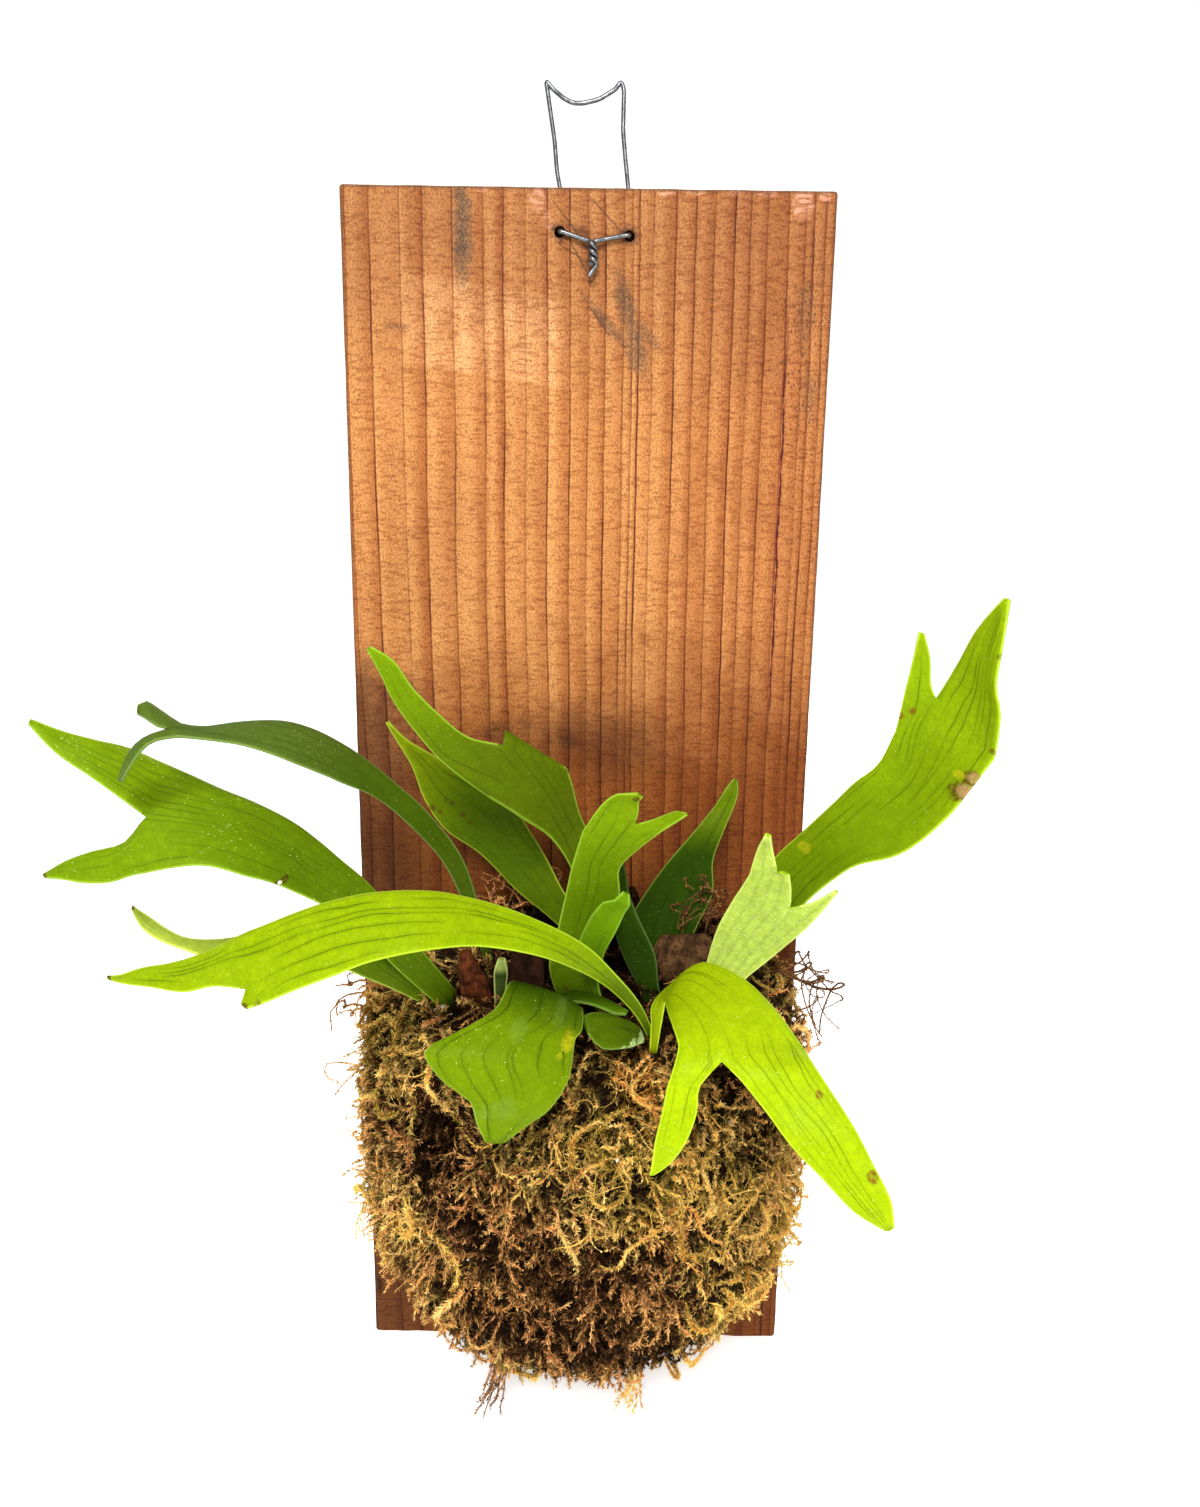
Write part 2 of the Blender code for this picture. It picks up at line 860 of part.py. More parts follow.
BUD = limb(
    [
        at(-22.5, 38, -46, 3, 1, 0),
        at(-22, 42, -37, 3.5, 1, 0),
        at(-21.5, 45, -30, 4, 1, 0),
        at(-21, 48, -25, 2, 1, 0),
    ]
)

SMALL_DARK = limb(
    [
        at(-9, 44, -53, 2.5, -10, 0),
        at(-8, 46, -44, 3, -25, 20),
        at(-6, 48, -38, 3.5, -60, 50),
        at(-1, 50, -35, 4.5, -110, 66),
        at(6, 53, -35, 4.5, -148, 68),
        at(11, 56, -36, 3.5, -149, 57),
        at(14, 58, -36, 1.5, -128, 48),
    ]
)

# name, limb, columns, camber, stations within the mound, colour
BLADES = (
    ("frond_far_left", FAR_LEFT, 4, 0.02, 3, (0.20, 0.42, 0.02)),
    ("frond_dark_arch", DARK_ARCH, 2, 0.03, 3, (0.09, 0.25, 0.03)),
    ("frond_front_left", FRONT_LEFT, 4, 0.04, 3, (0.42, 0.64, 0.02)),
    ("frond_low_left", LOW_LEFT, 2, 0.06, 3, (0.30, 0.50, 0.03)),
    ("frond_torn", TORN, 4, 0.04, 3, (0.22, 0.43, 0.03)),
    ("frond_spotted", SPOTTED, 4, 0.05, 3, (0.14, 0.33, 0.03)),
    ("frond_middle", MIDDLE, 4, 0.06, 3, (0.22, 0.45, 0.03)),
    ("frond_small_tip", SMALL_TIP, 2, 0.06, 3, (0.24, 0.46, 0.03)),
    ("frond_dark_right", DARK_RIGHT, 4, 0.05, 3, (0.08, 0.22, 0.02)),
    ("frond_narrow_dark", NARROW_DARK, 2, 0.06, 3, (0.06, 0.17, 0.02)),
    ("frond_right", RIGHT, 5, 0.05, 3, (0.26, 0.50, 0.02)),
    ("frond_pale", PALE, 6, 0.04, 3, (0.52, 0.70, 0.22)),
    ("frond_front_right", FRONT_RIGHT, 5, 0.06, 3, (0.45, 0.68, 0.02)),
    ("frond_drooping", DROOPING, 4, 0.05, 3, (0.24, 0.50, 0.03)),
    ("frond_small_droop", SMALL_DROOP, 2, 0.06, 3, (0.22, 0.45, 0.03)),
    ("frond_small_dark", SMALL_DARK, 2, 0.06, 3, (0.12, 0.30, 0.02)),
    ("frond_bud", BUD, 2, 0.1, 3, (0.45, 0.60, 0.20)),
    ("shield_frond_right", SHIELD_RIGHT, 4, 0.15, 5, (0.30, 0.20, 0.12)),
    ("shield_frond_left", SHIELD_LEFT, 2, 0.2, 3, (0.16, 0.07, 0.03)),
    ("crown_scale", CROWN_SCALE, 2, 0.15, 3, (0.22, 0.08, 0.04)),
)


def main():
    clear_scene()
    parts = new_collection(NAME)
    cutters = new_collection("cutters")
    cutters.hide_render = True
    wood = material("plank_wood", (0.42, 0.17, 0.06), 0.75)
    steel = material("galvanised_wire", (0.48, 0.48, 0.50), 0.38, 1.0)
    moss = material("dry_moss", (0.20, 0.13, 0.05), 0.95)
    make_plank(parts, cutters, wood)
    make_wire(parts, steel)
    mound = make_mound(parts, moss)
    for name, part, columns, camber, roots, colour in BLADES:
        look = material(name + "_leaf", colour, 0.5)
        make_blade(name, part, columns, camber, parts, look)
        pocket = make_blade(
            name + "_pocket", part, columns, camber, cutters, moss, POCKET, roots
        )
        hide_cutter(pocket)
        cut(mound, pocket)


main()
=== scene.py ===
"""Looks for the mounted staghorn fern: plank, wire hanger, moss and fronds.

X is to the viewer's right, +Z is up and -Y is out of the wall, toward the viewer.
The origin is where a hook bears on the wire loop, in the plane of the plank's back.
Lengths are in millimetres, and the meshes are made in metres.
"""

import collections
import math

import bmesh
import bpy
import numpy as np
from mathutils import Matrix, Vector, noise


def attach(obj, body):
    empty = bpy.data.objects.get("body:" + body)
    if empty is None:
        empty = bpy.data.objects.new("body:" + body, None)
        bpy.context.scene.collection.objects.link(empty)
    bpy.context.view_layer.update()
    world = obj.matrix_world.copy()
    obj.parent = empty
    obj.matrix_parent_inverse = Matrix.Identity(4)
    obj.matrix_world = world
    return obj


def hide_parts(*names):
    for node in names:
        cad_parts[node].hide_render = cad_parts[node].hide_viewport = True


MM = 0.001
BODY = "root"

# Plank
PLANK_WIDTH = 140.0
PLANK_LENGTH = 372.0
PLANK_THICK = 19.0
PLANK_TOP = -26.5
PLANK_MID = PLANK_TOP - PLANK_LENGTH / 2
PLANK_LOW = PLANK_TOP - PLANK_LENGTH
FACE = -PLANK_THICK

# Wire hanger
WIRE = 1.3
HOLE = 3.2
HOLES = ((-8.0, 11.8), (11.7, 12.6))
WIRE_BEHIND = 0.95
WIRE_FRONT = 1.15
WIRE_BEND = 1.2
KNOT_PROUD = 2.5
KNOT_DRIFT = 0.6
TWIST_RADIUS = 0.85
TWIST_TURNS = 1.5
TWIST_LENGTH = 6.0

# Moss mound
MOUND_X = 1.5
MOUND_Z = -88.0
MOUND_HALF_WIDTH = 68.5
MOUND_UP = 66.0
MOUND_DOWN = 73.0
MOUND_OUT = 64.0
MOUND_SAG = 0.30
MOUND_BOXY = 2.7
MOUND_SHOULDER = 3.4
MOUND_CHIN = 2.2

# Blades
BLADE_THICK = 0.8
STALK_THICK = 1.9
STALK_WIDTH = 5.0
MARGIN_SHARE = 0.45
MARGIN_WIDTH = 1.4
ROW_SPACING = 2.4
FORK_FADE = 9.0


# Shader building -----------------------------------------------------------------------


class Look:
    """A material under construction, with short ways to add and join its nodes."""

    def __init__(self, name):
        self.material = bpy.data.materials.new(name)
        self.material.use_nodes = True
        self.tree = self.material.node_tree
        self.tree.nodes.clear()
        coordinates = self.tree.nodes.new("ShaderNodeTexCoord")
        self.place = self.scaled(coordinates.outputs["Object"], (1000, 1000, 1000))
        parts = self.tree.nodes.new("ShaderNodeSeparateXYZ")
        self.tree.links.new(self.place, parts.inputs[0])
        self.x, self.y, self.z = parts.outputs

    def put(self, socket, value):
        if isinstance(value, bpy.types.NodeSocket):
            self.tree.links.new(value, socket)
        elif hasattr(value, "__len__") and len(value) == 3 and len(socket.default_value) == 4:
            socket.default_value = (*value, 1.0)
        else:
            socket.default_value = value

    def node(self, kind, *values, **settings):
        made = self.tree.nodes.new(kind)
        for name, value in settings.items():
            setattr(made, name, value)
        for socket, value in zip(made.inputs, values):
            if value is not None:
                self.put(socket, value)
        return made

    def fill(self, node, **values):
        """The node's outputs, once its inputs are given by their names."""
        for name, value in values.items():
            self.put(node.inputs[name.replace("_", " ")], value)
        return node.outputs

    def math(self, operation, a, b=None, c=None, clamp=False):
        made = self.node("ShaderNodeMath", a, b, c, operation=operation, use_clamp=clamp)
        return made.outputs[0]

    def times(self, value, *factors, clamp=False):
        for factor in factors:
            value = self.math("MULTIPLY", value, factor, clamp=clamp)
        return value

    def times_plus(self, a, b, c):
        return self.math("MULTIPLY_ADD", a, b, c)

    def minus(self, a, b):
        return self.math("SUBTRACT", a, b)

    def larger(self, a, b):
        return self.math("MAXIMUM", a, b)

    def nudged(self, value, wobble, reach):
        """The value, moved up or down by a wobble that lies about 0.5."""
        return self.times_plus(self.minus(wobble, 0.5), reach, value)

    def scaled(self, vector, factors):
        made = self.node("ShaderNodeVectorMath", vector, factors, operation="MULTIPLY")
        return made.outputs[0]

    def vector(self, x=0.0, y=0.0, z=0.0):
        return self.node("ShaderNodeCombineXYZ", x, y, z).outputs[0]

    def split(self, vector):
        return self.node("ShaderNodeSeparateXYZ", vector).outputs

    def attribute(self, name):
        return self.node("ShaderNodeAttribute", attribute_name=name)

    def across_along_width(self):
        """The place on a blade, as its sheet stored it."""
        return self.split(self.attribute("blade").outputs["Vector"])

    def smooth(self, value, low, high, at_low=0.0, at_high=1.0, kind="SMOOTHSTEP"):
        made = self.node("ShaderNodeMapRange", interpolation_type=kind)
        for socket, given in zip(made.inputs, (value, low, high, at_low, at_high)):
            self.put(socket, given)
        return made.outputs[0]

    def rise(self, value, low, high, top=1.0):
        return self.smooth(value, low, high, 0.0, top)

    def fall(self, value, low, high):
        return self.smooth(value, low, high, 1.0, 0.0)

    def noise(self, vector, scale, detail=2.0, rough=0.5, warp=0.0):
        made = self.node("ShaderNodeTexNoise")
        self.fill(made, Vector=vector, Scale=scale, Detail=detail, Roughness=rough)
        return self.fill(made, Distortion=warp)["Fac"]

    def clouds(self, scale, detail=2.0, rough=0.5, warp=0.0):
        """Noise over the object, the same along every axis."""
        return self.noise(self.place, scale, detail, rough, warp)

    def streaks(self, factors, detail=2.0, rough=0.5):
        """Noise over the object, finer along an axis the larger its factor."""
        return self.noise(self.scaled(self.place, factors), 1.0, detail, rough)

    def cells(self, vector, scale):
        return self.fill(self.node("ShaderNodeTexVoronoi"), Vector=vector, Scale=scale)

    def mix(self, share, a, b, blend="MIX"):
        made = self.node("ShaderNodeMix", data_type="RGBA", blend_type=blend)
        made.clamp_factor = True
        self.put(made.inputs[0], share)
        self.put(made.inputs[6], a)
        self.put(made.inputs[7], b)
        return made.outputs[2]

    def dyed(self, colour, factors):
        return self.mix(1.0, colour, factors, "MULTIPLY")

    def toned(self, colour, share, factors):
        """The colour, with a share of it multiplied by the factors."""
        return self.mix(share, colour, self.dyed(colour, factors))

    def tones(self, colour, rows):
        """The colour, toned where each row's value goes from its low to its high."""
        for value, low, high, share, factors in rows:
            colour = self.toned(colour, self.rise(value, low, high, share), factors)
        return colour

    def bump(self, height, distance, strength):
        made = self.node("ShaderNodeBump")
        return self.fill(made, Strength=strength, Distance=distance * MM, Height=height)[0]

    def blot(self, x, z, half_x, half_z, turn, soft, ragged):
        """1 inside an ellipse on the front, fading to 0 past its ragged edge."""
        across = self.minus(self.x, x)
        along = self.minus(self.z, z)
        cosine = math.cos(math.radians(turn))
        sine = math.sin(math.radians(turn))
        first = self.times_plus(across, cosine / half_x, self.times(along, sine / half_x))
        second = self.times_plus(along, cosine / half_z, self.times(across, -sine / half_z))
        reach = self.node(
            "ShaderNodeVectorMath", self.vector(first, second, 0.0), operation="LENGTH"
        ).outputs["Value"]
        reach = self.nudged(reach, self.clouds(0.35, 3.0, 0.6), ragged * 2)
        return self.fall(reach, 1 - soft, 1 + soft)

    def finish(self, colour, roughness, normal=None, **uniform):
        shader = self.node("ShaderNodeBsdfPrincipled")
        self.fill(shader, Base_Color=colour, Roughness=roughness, **uniform)
        if normal:
            self.put(shader.inputs["Normal"], normal)
        output = self.node("ShaderNodeOutputMaterial")
        self.tree.links.new(shader.outputs[0], output.inputs[0])
        return self.material


def add(name, data, *looks):
    """A new object in the scene, with its materials."""
    obj = bpy.data.objects.new(name, data)
    bpy.context.scene.collection.objects.link(obj)
    for look in looks:
        data.materials.append(look)
    return obj


def mesh_of(name, shape):
    """A mesh of the bmesh, which is freed."""
    mesh = bpy.data.meshes.new(name)
    shape.to_mesh(mesh)
    shape.free()
    return mesh


def settle(obj, slot, *nodes):
    """Fixes a finished piece to the body, with the nodes that it stands for."""
    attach(obj, BODY)
    if nodes:
        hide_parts(*nodes)
    return obj


# Wood ----------------------------------------------------------------------------------

# Late wood of each year, as distances from the plank's middle line at its top
LATE_WOOD = (
    -69.0, -62.0, -53.3, -46.8, -38.4, -29.4, -23.8, -17.5, -11.3, -5.0, 0.2, 5.0,
    10.2, 12.7, 14.6, 18.6, 25.0, 30.6, 35.8, 41.6, 46.0, 50.9, 57.0, 61.8, 64.2, 67.4,
    71.3, 74.2, 76.6,
)
GRAIN_LEAN = 0.45

EARLY_WOOD = (0.54, 0.270, 0.096)
RIPE_WOOD = (0.39, 0.150, 0.042)
YEAR_LINE = (0.10, 0.026, 0.008)
PORE = (0.12, 0.045, 0.018)
STAIN = (0.070, 0.050, 0.036)
SOIL = (0.060, 0.026, 0.012)
BARE = (0.70, 0.38, 0.26)
PITCH = (0.075, 0.010, 0.007)
PITCH_STAIN = (0.25, 0.05, 0.02)
EDGE_DIRT = (0.115, 0.055, 0.028)


def grain_place(m):
    """The place across the years, which lean through the board and drift down it."""
    down = m.smooth(m.z, PLANK_TOP - 90, PLANK_LOW, 0.0, 1.0, "LINEAR")
    sway = m.times(m.math("POWER", down, 1.4), -9.5)
    side = m.smooth(m.x, -70, 70, 1.0, 0.0, "LINEAR")
    grain = m.times_plus(sway, side, m.x)
    grain = m.nudged(grain, m.streaks((0.02, 0.02, 0.011)), 3.0)
    grain = m.times_plus(m.minus(m.y, FACE), GRAIN_LEAN, grain)
    return m.nudged(grain, m.streaks((0.5, 0.5, 0.12)), 0.5)


def years(m, grain):
    """The late wood of each year, and the fine line that ends it."""
    late = None
    line = None
    for number, x in enumerate(LATE_WOOD):
        before = LATE_WOOD[number - 1] if number else x - 6
        # Some years are stronger than others
        strength = 0.72 + 0.28 * math.sin(number * 2.4)
        stop = m.fall(grain, x + 0.10, x + 0.32)
        band = m.times(m.rise(grain, x - (x - before) * 0.75, x, strength), stop)
        edge = m.times(m.rise(grain, x - 0.40, x - 0.12, strength), stop)
        late = band if late is None else m.larger(late, band)
        line = edge if line is None else m.larger(line, edge)
    return late, line


def wood_look():
    m = Look("aged_softwood")
    grain = grain_place(m)
    late, line = years(m, grain)
    fibre = m.streaks((2.6, 2.6, 0.09), 4.0, 0.65)
    streak = m.streaks((0.28, 0.28, 0.008), 2.0)
    ripple = m.streaks((0.28, 0.28, 1.15), 3.0, 0.65)
    cloud = m.clouds(0.028, 3.0, 0.55)
    grit = m.streaks((1.9, 1.9, 1.4), 3.0, 0.75)
    patchy_line = m.smooth(m.streaks((0.3, 0.3, 0.03), 3.0), 0.38, 0.62, 0.35, 1.0)
    colour = m.mix(late, EARLY_WOOD, RIPE_WOOD)
    # Some years are redder and darker than others
    year = m.noise(m.vector(m.times(grain, 0.16), 0.0, m.times(m.z, 0.003)), 1.0, 2.0)
    colour = m.toned(colour, m.rise(year, 0.40, 0.66, 0.75), (0.84, 0.75, 0.66))
    # Painted shade: the right side of the face is darker
    shaded = m.rise(m.x, 5.0, 60.0)
    colour = m.toned(colour, shaded, (0.88, 0.80, 0.78))
    # The top of the face is darker
    darker_top = m.rise(m.z, PLANK_TOP - 75, PLANK_TOP - 10)
    colour = m.toned(colour, darker_top, (0.74, 0.70, 0.72))
    colour = m.mix(m.times(line, patchy_line), colour, YEAR_LINE)
    colour = m.tones(colour, (
        (streak, 0.40, 0.72, 0.30, (0.80, 0.62, 0.50)),
        (cloud, 0.44, 0.72, 0.45, (0.74, 0.66, 0.62)),
        (ripple, 0.50, 0.62, 0.70, (0.66, 0.52, 0.42)),
        (grit, 0.50, 0.38, 0.60, (1.34, 1.50, 1.60)),
        (grit, 0.53, 0.62, 0.72, (0.52, 0.40, 0.30)),
        (fibre, 0.55, 0.80, 0.4, (0.6, 0.5, 0.4)),
    ))
    # Pores and dirt specks
    pores = m.cells(m.scaled(m.place, (1.0, 1.0, 0.6)), 1.5)
    rare = m.split(pores["Color"])[0]
    speck = m.times(m.fall(pores["Distance"], 0.08, 0.26), m.rise(rare, 0.55, 0.85))
    colour = m.mix(m.times(speck, 0.55), colour, PORE)
    front = m.rise(m.y, FACE + 1.2, FACE + 0.4)
    colour = wood_marks(m, colour, front, grit)
    # End grain and sides are duller and darker
    colour = m.toned(colour, m.smooth(front, 0.0, 1.0, 0.6, 0.0), (0.62, 0.55, 0.50))
    height = m.times_plus(fibre, 0.4, m.times(late, 0.35))
    height = m.times_plus(ripple, 0.45, height)
    height = m.times_plus(grit, -0.35, height)
    height = m.minus(height, m.times(speck, 0.5))
    normal = m.bump(height, 0.22, 0.8)
    roughness = m.smooth(fibre, 0.2, 0.8, 0.58, 0.78)
    return m.finish(colour, roughness, normal, Specular_IOR_Level=0.25)


# Marks on the face: x, z from the plank's middle, half width, half height, and then
# the turn, share and colour of a stain, the turn of a scratch and the share of a chip
STAINS = (
    (-35.3, 176.0, 2.2, 13.5, 2, 0.85, STAIN),
    (-36.4, 168.0, 1.5, 8.0, 0, 0.55, STAIN),
    (11.0, 155.0, 2.2, 8.5, 14, 0.70, STAIN),
    (6.0, 149.5, 1.3, 8.5, 42, 0.60, STAIN),
    (14.5, 142.0, 2.6, 6.0, 10, 0.60, STAIN),
    (17.5, 147.0, 1.6, 5.0, 38, 0.45, STAIN),
    (-54.5, 148.4, 3.8, 0.9, -4, 0.50, SOIL),
    (-0.5, 172.5, 1.8, 4.5, 36, 0.55, SOIL),
    (0.8, 163.5, 1.8, 4.0, 20, 0.50, SOIL),
    (62.4, 153.0, 2.6, 9.0, 0, 0.30, STAIN),
    (64.8, 131.5, 2.2, 6.0, 0, 0.35, STAIN),
    (-68.2, -166.4, 1.0, 4.0, 0, 0.9, SOIL),
    # The next three blots behind the torn frond are dirt and partly painted shadow of the frond
    (-26.5, 29.5, 5.0, 3.2, 0, 0.55, SOIL),
    (-18.0, 32.5, 2.6, 2.2, 20, 0.35, SOIL),
    (-5.0, 28.0, 3.4, 2.4, 0, 0.45, SOIL),
    (-8.0, 174.2, 2.3, 2.2, 0, 0.95, SOIL),
    (11.7, 173.4, 2.4, 2.2, 0, 0.95, SOIL),
)
SCRATCHES = (
    (-4.4, 175.6, 0.30, 8.2, 39),
    (5.0, 178.9, 0.26, 6.8, 45),
    (-2.5, 167.5, 0.32, 5.2, 30),
    (-5.5, 169.5, 0.22, 4.0, 60),
    (3.6, 150.5, 0.25, 5.5, 36),
)
CHIPS = (
    (-14.2, 182.6, 2.0, 3.4, 0.50), (-11.6, 177.2, 1.5, 2.2, 0.32), (60.3, 182.2, 3.0, 3.8, 0.62),
    (66.5, 184.4, 1.6, 1.2, 0.5), (22.0, 184.9, 2.5, 0.9, 0.55), (30.0, 185.0, 3.0, 0.8, 0.5),
    (41.0, 185.0, 2.2, 0.7, 0.45), (50.0, 184.9, 2.8, 0.8, 0.5), (-30.0, 185.0, 2.0, 0.7, 0.35),
)


def wood_marks(m, colour, front, grit):
    """Stains, scratches, dirt with some painted shadow, and darker patches on the plank's face."""
    mid = PLANK_MID

    def lay(colour, mark, share, tint):
        mark = m.times(mark, front, share)
        return m.mix(mark, colour, tint)

    # A pale patch where something was once stuck
    lean = m.times_plus(m.x, 0.14, m.z)
    frayed = m.nudged(lean, grit, 3.0)
    tall = m.times(m.rise(frayed, mid + 130.4, mid + 131.6), m.fall(frayed, mid + 154, mid + 157))
    wide = m.times(m.rise(m.x, -54, -50), m.fall(m.x, -6.5, -4.2))
    cover = m.smooth(m.clouds(0.10, 3.0, 0.6), 0.30, 0.62, 0.35, 1.0)
    patch = m.times(tall, wide, cover)
    colour = lay(colour, patch, 0.9, m.dyed(colour, (1.28, 1.48, 1.85)))
    grime = m.smooth(grit, 0.36, 0.58, 0.45, 1.0)
    for x, z, half_x, half_z, turn, share, tint in STAINS:
        mark = m.times(m.blot(x, mid + z, half_x, half_z, turn, 0.6, 0.75), grime)
        colour = lay(colour, mark, share, tint)
    for x, z, half_x, half_z, turn in SCRATCHES:
        mark = m.blot(x, mid + z, half_x, half_z, turn, 0.5, 0.3)
        colour = lay(colour, mark, 0.6, SOIL)
    ticks = m.smooth(m.streaks((0.25, 0.25, 1.3), 2.0), 0.40, 0.56, 1.0, 0.25)
    for x, z, half_x, half_z, share in CHIPS:
        mark = m.times(m.blot(x, mid + z, half_x, half_z, 0, 0.25, 0.5), ticks)
        colour = lay(colour, mark, share, BARE)
    # Dark pits along the right side
    pits = m.cells(m.scaled(m.place, (1.0, 1.0, 0.6)), 0.85)
    pit = m.fall(pits["Distance"], 0.12, 0.34)
    pitted = m.times(m.blot(62.0, mid + 146, 5.5, 30, 0, 0.5, 0.8), pit)
    often = m.math("GREATER_THAN", m.split(pits["Color"])[1], 0.45)
    colour = lay(colour, m.times(pitted, often), 0.75, SOIL)
    # A pitch crack, red at its edges
    wobble = m.streaks((0.0, 0.0, 0.07), 3.0, 0.6)
    off = m.nudged(m.minus(m.x, 57.6), wobble, 2.0)
    off = m.math("ABSOLUTE", off)
    span = m.times(m.rise(m.z, mid + 22, mid + 50), m.fall(m.z, mid + 130, mid + 165))
    swell = m.smooth(m.streaks((0.0, 0.0, 0.16), 3.0, 0.7), 0.35, 0.62, 0.10, 0.42)
    crack = m.times(m.fall(m.minus(off, swell), -0.16, 0.10), span)
    colour = lay(colour, m.times(m.fall(off, 0.2, 1.4), span), 0.35, PITCH_STAIN)
    colour = lay(colour, crack, 0.95, PITCH)
    # Dirt in the worn edges
    sides = m.rise(m.math("ABSOLUTE", m.x), PLANK_WIDTH / 2 - 1.3, PLANK_WIDTH / 2 - 0.3)
    top = m.rise(m.z, PLANK_TOP - 1.5, PLANK_TOP - 0.3)
    rim = m.times(m.larger(sides, top), m.smooth(grit, 0.35, 0.6, 0.45, 1.0))
    colour = m.mix(m.times(rim, 0.72), colour, EDGE_DIRT)
    # Darker, browner wood round the plant, darker patches at the left and middle above it, and
    # darker toward the foot
    near = m.smooth(m.clouds(0.05, 3.0, 0.6), 0.3, 0.7, -14.0, 14.0, "LINEAR")
    level = m.math("ADD", m.z, near)
    darkening = m.rise(level, mid + 70, mid + 10, 0.95)
    colour = lay(colour, darkening, 1.0, m.dyed(colour, (0.52, 0.36, 0.16)))
    left = m.times(m.rise(m.x, -40, -62), m.rise(level, mid + 58, mid + 30))
    middle = m.blot(5.0, mid + 27, 21, 10, -6, 0.7, 0.5)
    lower = m.rise(level, mid - 5, mid - 50, 0.30)
    darker_parts = m.larger(m.times(left, 0.85), m.times(middle, 0.6))
    darker_parts = m.larger(darker_parts, lower)
    return lay(colour, darker_parts, 1.0, m.dyed(colour, (0.46, 0.46, 0.60)))


def grid_lines(low, high, cell, fine):
    """Places across a face, close together within fine of its two ends."""
    steps = (0.0, 0.3, 0.6, 0.9, 1.3, 2.0, 3.2)
    near = [low + step * fine for step in steps]
    far = [high - step * fine for step in reversed(steps)]
    count = max(1, round((far[0] - near[-1]) / cell))
    middle = [near[-1] + (far[0] - near[-1]) * k / count for k in range(1, count)]
    return near + middle + far


def worn(point):
    """A point of the sharp board, drawn in to its worn, slightly dented edges."""
    wear = 1.0 + 0.9 * max(0.0, noise.noise(Vector(point) / 9.0) + 0.15)
    low = Vector((-PLANK_WIDTH / 2, FACE, PLANK_LOW)) + Vector((wear,) * 3)
    high = Vector((PLANK_WIDTH / 2, 0.0, PLANK_TOP)) - Vector((wear,) * 3)
    inner = Vector([min(max(p, a), b) for p, a, b in zip(point, low, high)])
    away = Vector(point) - inner
    if away.length < 1e-6:
        return Vector(point)
    past = [abs(a) > 1e-6 for a in away]
    if sum(past) > 1:
        return inner + away.normalized() * wear
    return Vector(point)


def board_side(shape, spans, flat, end):
    """One side of the board: a grid over the two axes that aren't flat."""
    first, second = [axis for axis in range(3) if axis != flat]
    rows = []
    for a in spans[first]:
        row = []
        for b in spans[second]:
            point = [0.0, 0.0, 0.0]
            point[flat] = spans[flat][end]
            point[first] = a
            point[second] = b
            row.append(shape.verts.new(worn(point)))
        rows.append(row)
    for near, far in zip(rows, rows[1:]):
        for k in range(len(near) - 1):
            shape.faces.new((near[k], near[k + 1], far[k + 1], far[k]))


def make_plank():
    """The board with worn edges, a chipped top, a rough sawn foot and two drilled holes."""
    shape = bmesh.new()
    spans = (
        grid_lines(-PLANK_WIDTH / 2, PLANK_WIDTH / 2, 4.0, 0.8),
        grid_lines(FACE, 0.0, 3.0, 0.8),
        grid_lines(PLANK_LOW, PLANK_TOP, 4.0, 0.8),
    )
    for flat in range(3):
        for end in (0, -1):
            board_side(shape, spans, flat, end)
    bmesh.ops.remove_doubles(shape, verts=shape.verts, dist=0.01)
    for vert in shape.verts:
        vert.co = board_relief(vert.co) * MM
    bmesh.ops.recalc_face_normals(shape, faces=shape.faces)
    plank = add("softwood_plank", mesh_of("softwood_plank", shape), wood_look())
    for number, (x, down) in enumerate(HOLES):
        step = plank.modifiers.new(f"drilled_{number}", "BOOLEAN")
        step.operation = "DIFFERENCE"
        step.solver = "EXACT"
        step.object = make_drill(x, PLANK_TOP - down)
    apply_modifiers(plank)
    plank.data.set_sharp_from_angle(angle=math.radians(50))
    return settle(plank, "plank_wood", "plank")


def board_relief(point):
    """Chipped spots along the top edge and a rough sawn foot."""
    x, y, z = point
    down = PLANK_TOP - z
    if down < 7:
        chip = max(0.0, noise.noise(Vector((x / 6, 3.0, down / 9))) - 0.22)
        y += chip * 1.8 * (1 - down / 7) if y < FACE + 2 else 0.0
    foot = z - PLANK_LOW
    if foot < 2.0:
        z += abs(noise.noise(Vector((x / 3, y / 5, 0.0)))) * 0.7 * (1 - foot / 2)
    return Vector((x, y, z))


def make_drill(x, z):
    shape = bmesh.new()
    bmesh.ops.create_cone(
        shape, cap_ends=True, segments=20, radius1=HOLE / 2 * MM, radius2=HOLE / 2 * MM,
        depth=(PLANK_THICK + 10) * MM,
    )
    for vert in shape.verts:
        vert.co.x *= 1 + 0.12 * noise.noise(vert.co / MM / 0.9 + Vector((x, 0, 0)))
    drill = add("drill", mesh_of("drill", shape))
    drill.location = Vector((x, FACE / 2, z)) * MM
    drill.rotation_euler.x = math.pi / 2
    drill.hide_render = True
    return drill


def apply_modifiers(obj):
    """Keeps the shape that the modifiers make, and removes their cutters."""
    bpy.context.view_layer.update()
    graph = bpy.context.evaluated_depsgraph_get()
    made = bpy.data.meshes.new_from_object(obj.evaluated_get(graph), depsgraph=graph)
    cutters = [step.object for step in obj.modifiers if step.type == "BOOLEAN"]
    obj.modifiers.clear()
    obj.data = made
    for cutter in cutters:
        bpy.data.objects.remove(cutter)


# Wire ----------------------------------------------------------------------------------


